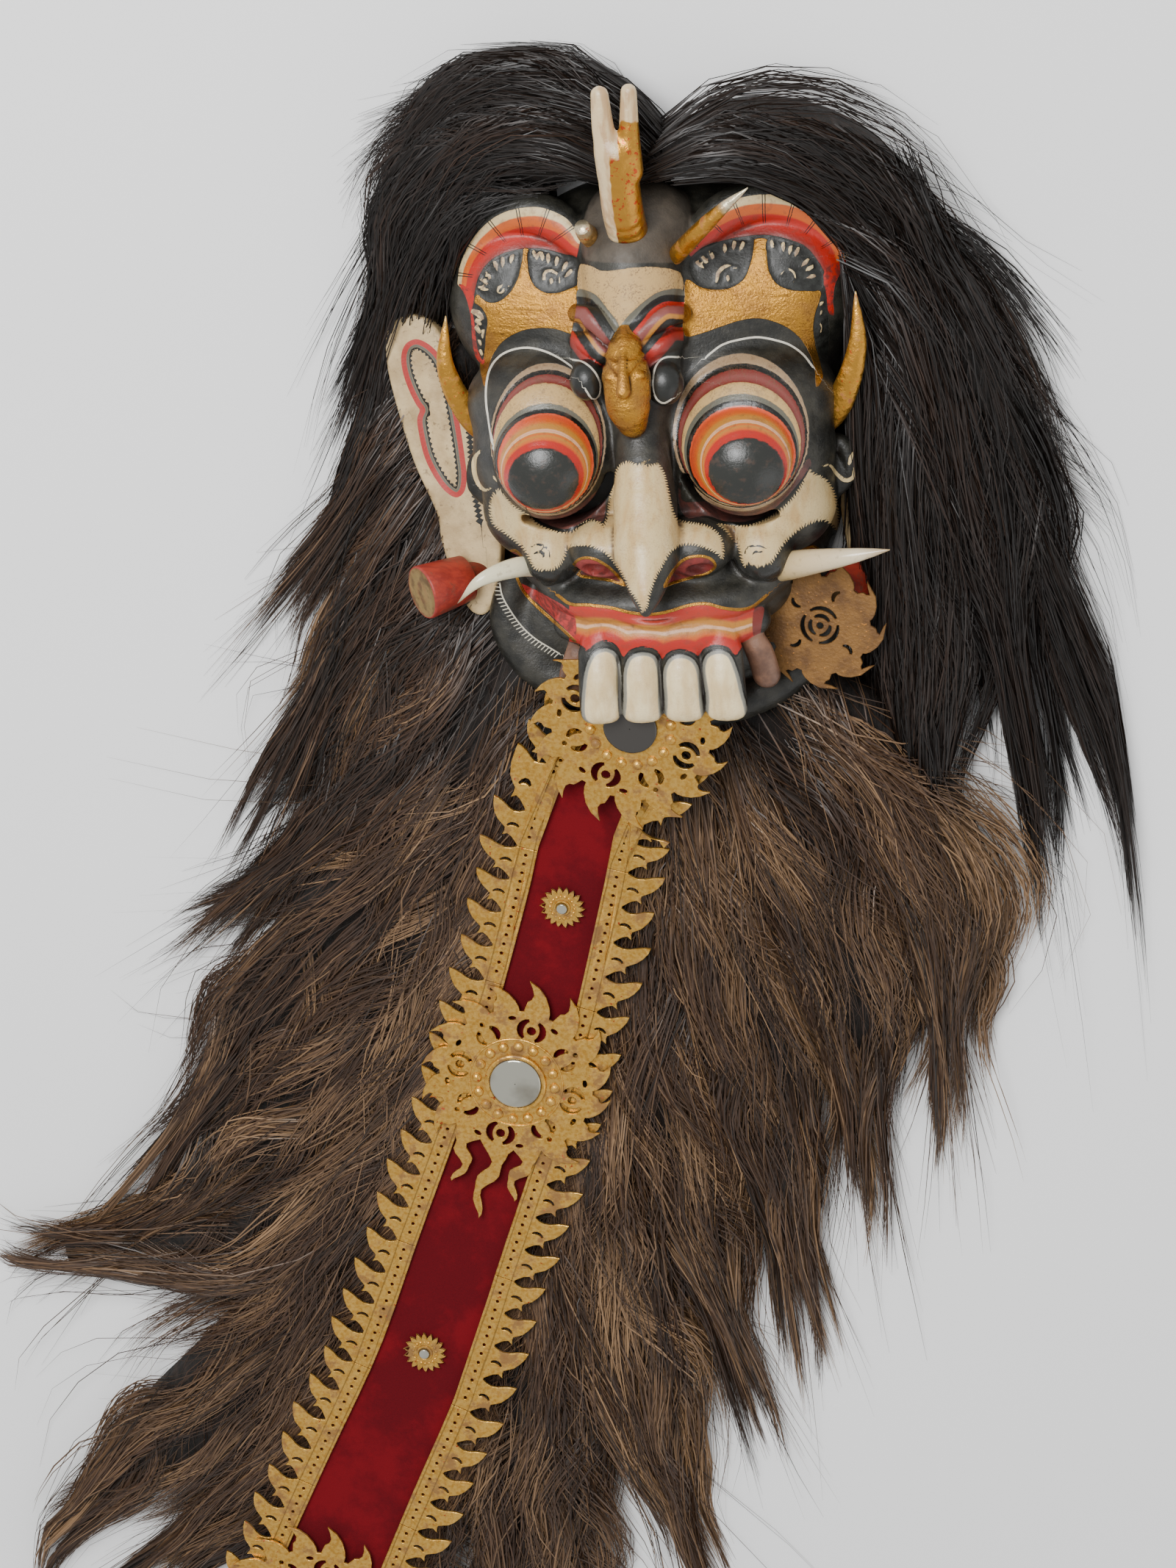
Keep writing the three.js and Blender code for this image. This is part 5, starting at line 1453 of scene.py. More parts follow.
def ear_piece(node, side, seat):
    """An ear. Its points take the place of the face's while region and trail lay out its paint."""
    global points, quads, normals, view, layers, group_values
    keep = points, quads, normals, view, layers, group_values
    forms = cut_by_face(ear_forms(side, seat), 0.4)
    low = [-176, -112, 0] if side < 0 else [98, -112, 0]
    high = [-98, 92, 48] if side < 0 else [176, 92, 30]
    points, quads, normals = surface(forms + [(endless(lambda p: p[..., 2] - 0.2), 0, True)],
                                     low, high, 1.8)
    view = seen(points)
    layers = {}
    group_values = {"ear": np.zeros(len(points)), "rest": np.full(len(points), 9.0)}
    attributes = {}
    if side < 0:
        region("loop", EYE_LEFT, [(170, 320), (185, 295), (215, 282), (260, 300), (310, 350), (345, 430),
            (370, 520), (395, 650), (415, 780), (425, 880), (415, 940), (395, 955), (355, 930), (310, 870),
            (270, 790), (245, 690), (237, 620), (250, 580), (230, 550), (200, 490), (175, 420),
            (165, 360)])
        trail("edge", EYE_LEFT, [(330, 300), (390, 400), (430, 520), (455, 700), (470, 900), (500, 1080)])
        attributes = dict(layers)
    s = Shader(node + "_paint")
    mottle = s.noise(55, 4, 0.6)
    worn = s.noise(210, 5, 0.62)
    colour = s.mix(s.span(mottle, 0.35, 0.68), (0.62, 0.46, 0.24), (0.42, 0.29, 0.14))
    colour = s.mix(s.times(s.span(worn, 0.58, 0.7), 0.7), colour, (0.16, 0.10, 0.05))
    if side < 0:
        x, y, _ = s.parts(s.attribute("loop").outputs["Vector"])
        comb = s.math("PINGPONG", s.over(y, 3.4), 0.5)
        inner = s.plus(3.4, s.times(comb, 2.6))
        colour = s.mix(s.times(s.span(x, 2.5, 2.8), s.minus(1.0, s.math("GREATER_THAN", x, inner))), colour,
                       BLACK)
        colour = s.mix(s.times(s.span(x, 0.9, 1.2), s.span(x, 2.4, 2.7, 1, 0)), colour, GREY)
        colour = s.mix(s.times(s.span(x, -2.3, -2.0), s.span(x, 0.9, 1.2, 1, 0)), colour, (0.42, 0.035, 0.03))
        x, y, _ = s.parts(s.attribute("edge").outputs["Vector"])
        comb = s.math("PINGPONG", s.over(y, 3.0), 0.5)
        teeth = s.math("LESS_THAN", s.size(x), s.plus(0.6, s.times(comb, 4.0)))
        colour = s.mix(teeth, colour, BLACK)
    material = s.finish(colour, 0.55, 0.0, s.bump(s.plus(worn, s.noise(700, 3)), 0.35, 0.0007))
    mesh_piece(node, points, quads, [node], attributes, material)
    points, quads, normals, view, layers, group_values = keep


EAR_SEAT, COVERED_EAR_SEAT = 26, 6  # heights of their backs; the right ear lies under the hair
ear_piece("ear_left", -1, EAR_SEAT)
ear_piece("ear_right", 1, COVERED_EAR_SEAT)

# Ear plugs
s = Shader("plug_red")
h, r, _ = s.parts(s.attribute("way").outputs["Vector"])
worn = s.noise(90, 5, 0.62)
scratch = s.noise(240, 4, 0.6, stretch=(0.25, 1, 1))
red = s.mix(s.span(scratch, 0.35, 0.65), (0.36, 0.035, 0.018), (0.24, 0.022, 0.014))
red = s.mix(s.times(s.span(worn, 0.55, 0.66), 0.8), red, (0.16, 0.05, 0.03))
olive = s.mix(s.span(s.noise(150, 4), 0.4, 0.65), (0.30, 0.20, 0.07), (0.15, 0.09, 0.035))
end = s.times(s.span(h, 33.4, 33.8), s.span(r, 15.6, 15.9, 1, 0))
colour = s.mix(end, red, olive)
plug_mat = s.finish(colour, 0.5, s.times(end, 0.4), s.bump(s.plus(worn, scratch), 0.4, 0.0009))
PLUG_PROFILE = [(-10, 0.1), (-10, 8.8), (1.8, 9), (2, 13.6), (2.6, 14.4), (12, 15.4), (22, 16.2),
    (32.5, 17), (33.6, 16.6), (34, 15.9), (33.7, 15.5), (33.8, 10), (33.7, 5), (33.8, 0.1)]
PLUG_ENDS = {"ear_plug_left": ([-127, -80, 38], [-156, -84, 62]),
             "ear_plug_right": ([116, -84, 18], [100, -104, 50])}
for node, (foot, tip) in PLUG_ENDS.items():
    v, f, e = turned(foot, tip, PLUG_PROFILE)
    mesh_piece(node, v, f, [node], {"way": e}, plug_mat)

# The tongue's lie
ROUTE = spread(smooth([[-4, -129, 88], [-24, -164, 83], [-50, -208, 70], [-60, -223, 66], [-82, -294, 53],
    [-122, -414, 47], [-172, -538, 45], [-204, -618, 44], [-250, -710, 43], [-297, -808, 42],
    [-325, -880, 42]], 24), 700)
ROUTE_AT = np.r_[0, np.cumsum(np.linalg.norm(np.diff(ROUTE, axis=0), axis=1))]
LENGTH = ROUTE_AT[-1]
ROUTE_AHEAD = unit(np.gradient(ROUTE, axis=0))


HALF_WIDTH_TOP, HALF_WIDTH_END = 20, 34


def half_width(u):
    """Half the velvet that shows between the borders."""
    return HALF_WIDTH_TOP + (HALF_WIDTH_END - HALF_WIDTH_TOP) * np.clip(u / LENGTH, 0, 1)


def on_tongue(u, v, h):
    """Places at u along the tongue, v across it and h above it."""
    c = np.clip(u, 0, LENGTH)
    place = np.stack([np.interp(c, ROUTE_AT, ROUTE[:, k]) for k in range(3)], -1)
    ahead = np.stack([np.interp(c, ROUTE_AT, ROUTE_AHEAD[:, k]) for k in range(3)], -1)
    ahead = unit(ahead)
    across = unit(np.cross([0, 0, 1.0], ahead))
    up = np.cross(ahead, across)
    return place + ahead * (u - c)[..., None] + across * v[..., None] + up * h[..., None]


def laid_on(flat, along, reach, lift):
    """Stiff pieces on the tongue rest on the chord of the stretch that they cover."""
    a = on_tongue(np.array([along - reach, along, along + reach]), np.zeros(3), np.zeros(3))
    ahead = (a[2] - a[0]) / np.linalg.norm(a[2] - a[0])
    across = np.cross([0, 0, 1.0], ahead)
    across /= np.linalg.norm(across)
    up = np.cross(ahead, across)
    return a[1] + up * lift + flat[:, :1] * ahead + flat[:, 1:2] * across + flat[:, 2:3] * up


# The velvet
VELVET = 4.6
VELVET_MARGIN = 7.6  # velvet under each border
VELVET_ROUNDING = 45  # length of the round end
steps, wide_steps = 150, 26
u = np.linspace(0, LENGTH, steps)
into = np.maximum(0, u - LENGTH + VELVET_ROUNDING) / VELVET_ROUNDING
half = (half_width(u) + VELVET_MARGIN) * np.sqrt(np.maximum(0.06, 1 - into**2))
v = np.linspace(-1, 1, wide_steps)
U = np.repeat(u, wide_steps)
V = (half[:, None] * v[None]).ravel()
swell = 0.5 * np.sin(U / 31 + V / 17) * np.sin(U / 53)
top = on_tongue(U, V, -0.5 + np.minimum(swell, 0) * 0.6)
under = on_tongue(U, V, -VELVET + 0 * U)
n = len(U)
cell = grid_quads(steps, wide_steps, around=False)
rim_ids = np.r_[np.arange(wide_steps), np.arange(1, steps) * wide_steps + wide_steps - 1,
                (steps - 1) * wide_steps + np.arange(wide_steps - 2, -1, -1), np.arange(steps - 2, 0,
                    -1) * wide_steps]
nxt = np.roll(rim_ids, -1)
rim_faces = np.stack([rim_ids, nxt, nxt + n, rim_ids + n], 1)
faces = np.vstack([cell, cell[:, ::-1] + n, rim_faces[:, ::-1]])
s = Shader("red_velvet")
nap = s.noise(16, 5, 0.68)
# Patches of crushed nap are a lighter red: the crushed nap is real, its lighter look is a painted sheen.
crushed_nap_sheen = s.span(nap, 0.44, 0.62)
colour = s.mix(crushed_nap_sheen, (0.070, 0.002, 0.005), (0.135, 0.003, 0.007))
colour = s.mix(s.times(s.noise(900, 2), 0.35), colour, (0.20, 0.005, 0.01))
velvet_mat = s.finish(colour, 0.95, 0.0, s.bump(s.noise(2400, 2), 0.35, 0.0005), Sheen_Weight=0.12,
                      Sheen_Roughness=0.5,
                      Sheen_Tint=(0.8, 0.1, 0.12, 1), Specular_IOR_Level=0.15)
tongue = mesh_piece("tongue", np.vstack([top, under]), faces, ["tongue"], {}, velvet_mat)

# Gilt leather, cut from flat shapes with holes
LEATHER = 2.2


def cut_leather(outline, holes, thick=LEATHER, edge=0.35):
    """A filled flat shape with holes as points (x, y, height) and triangles."""
    curve = bpy.data.curves.new("cut", "CURVE")
    curve.dimensions = "2D"
    curve.fill_mode = "BOTH"
    curve.extrude = thick / 2 - edge
    curve.bevel_depth = edge
    curve.bevel_resolution = 0
    curve.offset = -edge
    for loop in [outline] + holes:
        loop = np.asarray(loop, float)
        line = curve.splines.new("POLY")
        line.points.add(len(loop) - 1)
        four = np.zeros((len(loop), 4))
        four[:, :2] = loop
        four[:, 3] = 1
        line.points.foreach_set("co", four.ravel())
        line.use_cyclic_u = True
    made = bpy.data.objects.new("cut", curve)
    bpy.context.scene.collection.objects.link(made)
    graph = bpy.context.evaluated_depsgraph_get()
    mesh = made.evaluated_get(graph).to_mesh()
    mesh.calc_loop_triangles()
    co = np.zeros(len(mesh.vertices) * 3)
    mesh.vertices.foreach_get("co", co)
    tri = np.zeros(len(mesh.loop_triangles) * 3, np.int32)
    mesh.loop_triangles.foreach_get("vertices", tri)
    made.evaluated_get(graph).to_mesh_clear()
    bpy.data.objects.remove(made)
    bpy.data.curves.remove(curve)
    co = co.reshape(-1, 3)
    co[:, 2] += thick / 2
    return co, tri.reshape(-1, 3)


def circle(x, y, r, sides=10, turn=0.0, oval=1.0):
    a = full_turn(sides) + turn
    return np.stack([x + r * np.cos(a), y + r * oval * np.sin(a)], 1)


def arc_slot(x, y, r, a0, a1, wide, steps=9):
    """A crescent hole round (x, y)."""
    a = np.linspace(a0, a1, steps)
    taper = np.sin(np.linspace(0.12, 0.88, steps) * math.pi) * wide / 2 + 0.25
    outer = np.stack([x + (r + taper) * np.cos(a), y + (r + taper) * np.sin(a)], 1)
    inner_side = np.stack([x + (r - taper) * np.cos(a), y + (r - taper) * np.sin(a)], 1)[::-1]
    return np.vstack([outer, inner_side])


def leather_paint(name, strip):
    s = Shader(name)
    _, v, h = s.parts(s.attribute("flat").outputs["Vector"])
    worn = s.noise(70, 5, 0.65)
    fine = s.noise(420, 4, 0.6)
    gold = s.mix(s.span(fine, 0.35, 0.7), (0.70, 0.42, 0.10), (0.52, 0.26, 0.04))
    brown = (0.17, 0.075, 0.02)
    gone = s.times(s.span(worn, 0.50, 0.64), 0.85)
    colour = s.mix(gone, gold, brown)
    colour = s.mix(s.span(s.noise(300, 2), 0.68, 0.74), colour, (0.42, 0.07, 0.02))
    pressed = s.times(s.noise(150, 3, 0.5), 0.8)
    if strip:
        off = s.size(s.minus(v, 2.0))
        line = s.span(off, 0.15, 0.55, 1, 0)
        line = s.most(line, s.span(s.size(s.minus(v, 11.6)), 0.15, 0.55, 1, 0))
        colour = s.mix(s.times(line, 0.55), colour, (0.14, 0.07, 0.02))
        pressed = s.minus(pressed, line)
    colour = s.mix(s.span(h, 0.1, 0.5, 0.9, 0), colour, (0.10, 0.05, 0.02))
    normal = s.bump(s.plus(pressed, s.times(fine, 0.5)), 0.55, 0.0010)
    return s.finish(colour, s.span(worn, 0.4, 0.7, 0.3, 0.55), s.times(s.minus(1.0, gone), 0.85), normal)


strip_mat = leather_paint("gilt_leather_border", True)
disc_mat = leather_paint("gilt_leather", False)

BORDER_START, BORDER_END = 50.0, LENGTH - 70
BORDER_LENGTHS, FLAMES = 7, 4
BORDER_WIDTH, FLAME = 13.5, 23.0
step_long = (BORDER_END - BORDER_START) / BORDER_LENGTHS
LEAF = [(0.02, 0.0), (0.08, 0.14), (0.10, 0.30), (0.06, 0.48), (-0.02, 0.66), (-0.08, 0.84), (-0.10, 1.0),
    (0.06, 0.96), (0.24, 0.86), (0.40, 0.73), (0.50, 0.58), (0.57, 0.47), (0.66, 0.46), (0.78, 0.50),
    (0.72, 0.36), (0.78, 0.22), (0.88, 0.10), (0.97, 0.0)]
for name, side in (("left", -1), ("right", 1)):
    for index in range(BORDER_LENGTHS):
        start = BORDER_START + index * step_long
        pitch = (step_long - 0.3) / FLAMES
        outline = []
        for i in range(FLAMES):
            base = start + i * pitch
            grow = rng.uniform(0.9, 1.06)
            bend = rng.uniform(-0.03, 0.05)
            for a, b in LEAF:
                outline.append([base + pitch * (a + bend * b), BORDER_WIDTH + FLAME * b * grow])
        outline.append([start + step_long - 0.3, BORDER_WIDTH])
        outline += [[start + k * pitch, 0.0] for k in range(FLAMES, -1, -1)]
        outline.append([start, BORDER_WIDTH])
        holes = []
        for k in range(int((step_long - 6) / 6.7)):
            holes.append(circle(start + 5 + k * 6.7, 6.8, 1.15, 8))
        for i in range(FLAMES):
            base = start + i * pitch
            holes.append(arc_slot(base + pitch * 0.62, BORDER_WIDTH + FLAME * 0.20, pitch * 0.2, 2.2, 3.9,
                                  1.7, 6))
        outline = np.array(outline)
        if side < 0:
            flip = np.array([1, -1])
            outline = outline[::-1] * flip
            holes = [h[::-1] * flip for h in holes]
        co, tri = cut_leather(outline, holes)
        out = np.abs(co[:, 1])
        warp = 1.4 * np.clip((out - 14) / 20, 0, 1) ** 2 * np.sin(co[:, 0] / pitch * 2 * math.pi + index)
        places = on_tongue(co[:, 0], side * (half_width(co[:, 0]) + out), 0.5 + co[:, 2] + warp * (warp > 0))
        mesh_piece(f"border_{name}_{index + 1}", places, tri, [f"border_{name}_{index + 1}"],
                   {"flat": np.stack([co[:, 0], out, co[:, 2]], 1)}, strip_mat, True)


def flame_ring(radius, flames, reach, lean, sway=0.0, tails=None, jitter=0.05):
    """The outline of a disc edged with flames, some of them drawn out to wavy tails."""
    step = 2 * math.pi / flames
    line = []
    for i in range(flames):
        angle = i * step
        long = reach * (1 + sway * math.cos(2 * angle)) * rng.uniform(1 - jitter, 1 + jitter)
        polar = lambda t, out: [out * math.cos(angle + t * step), out * math.sin(angle + t * step)]
        if tails and i in tails:
            half = radius * step / 2 * 0.86
            root = np.array(polar(0, radius))
            sign = 1 if root[1] >= 0 else -1
            way = np.linspace(0.02, 0.94, 12)
            wave = np.sin(way * 7.5) * half * 0.42 * sign
            broad = half * (1 - way) ** 0.62 * (0.72 + 0.28 * np.cos(way * 15))
            low = [[root[0] + t * tails[i], root[1] + w - b] for t, w, b in zip(way, wave, broad)]
            high = [[root[0] + t * tails[i], root[1] + w + b] for t, w, b in zip(way, wave, broad)]
            line += low + [[root[0] + tails[i], root[1] + wave[-1]]] + high[::-1]
            continue
        for t, out in ((-0.44, 0.0), (-0.40, 0.16), (-0.30, 0.36), (-0.12, 0.62), (0.10, 0.84), (lean + 0.06,
            1.0), (lean - 0.04, 0.78),
                       (0.20, 0.58), (0.24, 0.42), (0.34, 0.34), (0.38, 0.18), (0.42, 0.02)):
            line.append(polar(t, radius + long * out))
    return np.array(line)


def dome_at(x, y, r, high, base, sides=10):
    """A little raised bump."""
    rings_at = [(1.0, 0.0), (0.92, 0.38), (0.7, 0.7), (0.36, 0.93), (0.02, 1.0)]
    a = full_turn(sides)
    verts = np.vstack([np.stack([x + r * k * np.cos(a), y + r * k * np.sin(a), np.full(sides,
        base + high * h)], 1) for k, h in rings_at])
    return verts, triangles(grid_quads(len(rings_at), sides, flip=True))


def ring_round(r, thick, high, base, sides=48, oval=9):
    """A raised hoop."""
    a = full_turn(sides)
    b = full_turn(oval)
    rr = r + thick / 2 * np.cos(b)
    zz = base + high / 2 + high / 2 * np.sin(b)
    verts = np.stack([rr[None] * np.cos(a)[:, None], rr[None] * np.sin(a)[:, None], np.tile(zz, (sides, 1))],
                     -1).reshape(-1, 3)
    return verts, triangles(grid_quads(sides, oval, closed=True))


glass = Shader("mirror_glass")
cloud = glass.noise(38, 3)
glass_mat = glass.finish(glass.mix(glass.span(cloud, 0.4, 0.7), (0.46, 0.45, 0.38), (0.26, 0.24, 0.19)),
                         glass.span(cloud, 0.4, 0.7, 0.08, 0.3),
                         0.75, None)
dark_glass = Shader("dark_mirror")
dark_mat = dark_glass.finish((0.06, 0.055, 0.05), 0.2, 0.4, None)


MIRROR_SIDES = 44


def mirror_piece(node, along, reach, radius, lift, material):
    a, f = dome_at(0, 0, radius, 0.5, 1.5, MIRROR_SIDES)
    turns = full_turn(MIRROR_SIDES)
    b = np.stack([radius * np.cos(turns), radius * np.sin(turns), np.zeros(MIRROR_SIDES)], 1)
    verts = np.vstack([a, b, [[0, 0, 0.0]]])
    n = len(a)
    j = np.arange(MIRROR_SIDES)
    k = (j + 1) % MIRROR_SIDES
    skirt = triangles(np.stack([j, n + j, n + k, k], 1))
    base = np.stack([n + k, n + j, np.full(MIRROR_SIDES, n + MIRROR_SIDES)], 1)
    mesh_piece(node, laid_on(verts, along, reach, lift), np.vstack([f, skirt, base]),
               [node], {}, material)


def holes_of_rosette():
    holes = []
    for q in range(4):
        mid = q * math.pi / 2
        cx, cy = 38 * math.cos(mid), 38 * math.sin(mid)
        holes.append(circle(cx, cy, 3.0, 10))
        holes.append(arc_slot(cx, cy, 7.4, mid + 0.45, mid + 2.6, 4.0))
        holes.append(arc_slot(cx, cy, 7.4, mid - 2.6, mid - 0.45, 4.0))
        off = mid + math.pi / 4
        cx, cy = 36 * math.cos(off), 36 * math.sin(off)
        holes.append(arc_slot(cx, cy, 6.2, off + 0.6, off + 2.4, 3.6))
        holes.append(arc_slot(cx, cy, 6.2, off - 2.4, off - 0.6, 3.6))
        holes.append(circle(44.5 * math.cos(off), 44.5 * math.sin(off), 1.7, 8))
        for t in (0.30, -0.30):
            a = mid + math.pi / 4 + t * 1.55
            holes.append(arc_slot(0, 0, 45.0, a - 0.055, a + 0.055, 2.6, 5))
    return holes


def clip_outline(line, keep_side):
    """Cuts a closed outline by a straight edge; keep_side gives how far inside a point is."""
    out = []
    for p, q in zip(line, np.roll(line, -1, 0)):
        a, b = keep_side(p), keep_side(q)
        if a >= 0:
            out.append(p)
        if (a >= 0) != (b >= 0):
            out.append(p + (q - p) * a / (a - b))
    return np.array(out)


ROSETTE_RADIUS, ROSETTE_FLAMES, ROSETTE_STUDS = 50, 16, 16
ROSETTE_LIFT = 3.9
MIRROR_LIFT = 2.7
STUD_RING = 25.5
CHIN_CUT = -118.5  # the chin's rosette ends here, under the teeth
TAILS = {0: 52.0, 1: 36.0, 15: 36.0}  # long tongues of leather among the flames
# For each: how far along the velvet, how high, and its tails
ROSETTES = {"chin": (38.0, ROSETTE_LIFT + 4, {}), "middle": (313.0, ROSETTE_LIFT, TAILS),
            "bottom": (LENGTH - 77, ROSETTE_LIFT, TAILS)}
for name, (along, lift, tails) in ROSETTES.items():
    outline = flame_ring(ROSETTE_RADIUS, ROSETTE_FLAMES, 17, 0.3, 0.25, tails)
    holes = holes_of_rosette()
    if name == "chin":
        frame_at = laid_on(np.array([[0, 0, 0], [1, 0, 0], [0, 1, 0.0]]), along, ROSETTE_RADIUS, lift)
        down = frame_at[1] - frame_at[0]
        over = frame_at[2] - frame_at[0]
        keep_side = lambda p: CHIN_CUT - (frame_at[0][1] + p[0] * down[1] + p[1] * over[1])
        outline = clip_outline(outline, keep_side)
        holes = [h for h in holes if all(keep_side(p) > 1.5 for p in h)]
    co, tri = cut_leather(outline, holes)
    parts = [(co, tri)]
    for k in range(ROSETTE_STUDS):
        a = (k + 0.5) * 2 * math.pi / ROSETTE_STUDS
        stud = np.array([STUD_RING * math.cos(a), STUD_RING * math.sin(a)])
        if name != "chin" or keep_side(stud) > 3:
            parts.append(dome_at(*stud, 3.5, 2.6, LEATHER))
    if name != "chin":
        parts.append(ring_round(18.6, 3.2, 2.8, LEATHER - 0.2))
        parts.append(ring_round(30.5, 1.4, 1.0, LEATHER - 0.3))
    verts, faces, _ = joined([(a, b, a) for a, b in parts])
    mesh_piece(f"rosette_{name}", laid_on(verts, along, ROSETTE_RADIUS, lift), faces,
               [f"rosette_{name}"],
               {"flat": verts}, disc_mat, True)
    mirror_piece(f"mirror_{name}", along, ROSETTE_RADIUS, 16.7, lift + MIRROR_LIFT,
                 dark_mat if name == "chin" else glass_mat)

# Small flowers on the velvet
FLOWER_PETALS = 18
FLOWER_REACH = 10
FLOWER_LIFT = 0.9
FLOWER_STUD_RING = 7.8
for name, along in (("upper", 186.0), ("lower", 524.0)):
    co, tri = cut_leather(flame_ring(9.6, FLOWER_PETALS, 5.0, 0.05), [], 1.8, 0.3)
    parts = [(co, tri), ring_round(4.6, 1.8, 1.6, 1.5, 24, 7)]
    for k in range(FLOWER_PETALS):
        a = k * 2 * math.pi / FLOWER_PETALS
        parts.append(dome_at(FLOWER_STUD_RING * math.cos(a), FLOWER_STUD_RING * math.sin(a), 1.2, 1.0, 1.6,
                             7))
    verts, faces, _ = joined([(a, b, a) for a, b in parts])
    mesh_piece(f"flower_{name}", laid_on(verts, along, FLOWER_REACH, FLOWER_LIFT), faces,
               [f"flower_{name}"], {"flat": verts}, disc_mat, True)
    mirror_piece(f"flower_mirror_{name}", along, FLOWER_REACH, 3.3, FLOWER_LIFT + MIRROR_LIFT, glass_mat)

# The rosette on the right ear plug
EAR_ROSETTE_AT = (92.5, -111, 62)
EAR_ROSETTE_CUT = 58.2  # the side to the face is cut straight here
outline = flame_ring(31, 9, 10, 0.42, 0.0)
turn_by = 0.4
spin = np.array([[math.cos(turn_by), math.sin(turn_by)], [-math.sin(turn_by), math.cos(turn_by)]])
outline = clip_outline(outline @ spin, lambda p: EAR_ROSETTE_AT[0] + p[0] - EAR_ROSETTE_CUT)
holes = [circle(0, 0, 2.2, 10)]
for r, wide in ((6.2, 2.2), (11.0, 2.2)):
    for a in (0.4, 2.5, 4.6):
        holes.append(arc_slot(0, 0, r, a, a + 1.7, wide))
for a, r in ((0.9, 21), (2.2, 20), (3.6, 19), (5.4, 22)):
    holes.append(arc_slot(r * math.cos(a), r * math.sin(a), 4.2, a + 0.6, a + 2.6, 2.0, 7))
co, tri = cut_leather(outline, holes)
lean = 0.1
placed = np.stack([co[:, 0] * math.cos(lean) - co[:, 2] * math.sin(lean) + EAR_ROSETTE_AT[0],
                   co[:, 1] + EAR_ROSETTE_AT[1],
                   co[:, 0] * math.sin(lean) + co[:, 2] * math.cos(lean) + EAR_ROSETTE_AT[2]], 1)
# The ear rosette's gilt is coloured dark brown: old worn gilt, darkened further as painted shade.
old_shaded_leather = Shader("old_shaded_gilt_leather")
worn = old_shaded_leather.noise(60, 5, 0.65)
colour = old_shaded_leather.mix(old_shaded_leather.span(worn, 0.38, 0.66), (0.22, 0.105, 0.025), (0.12, 0.055, 0.016))
colour = old_shaded_leather.mix(old_shaded_leather.span(old_shaded_leather.noise(500, 3), 0.66, 0.74), colour, (0.55, 0.22, 0.04))
old_shaded_gilt_mat = old_shaded_leather.finish(colour, 0.55, 0.35, old_shaded_leather.bump(old_shaded_leather.plus(worn, old_shaded_leather.noise(500, 3)), 0.5, 0.0010))
mesh_piece("ear_rosette", placed, tri, ["ear_rosette"], {"flat": co}, old_shaded_gilt_mat, True)


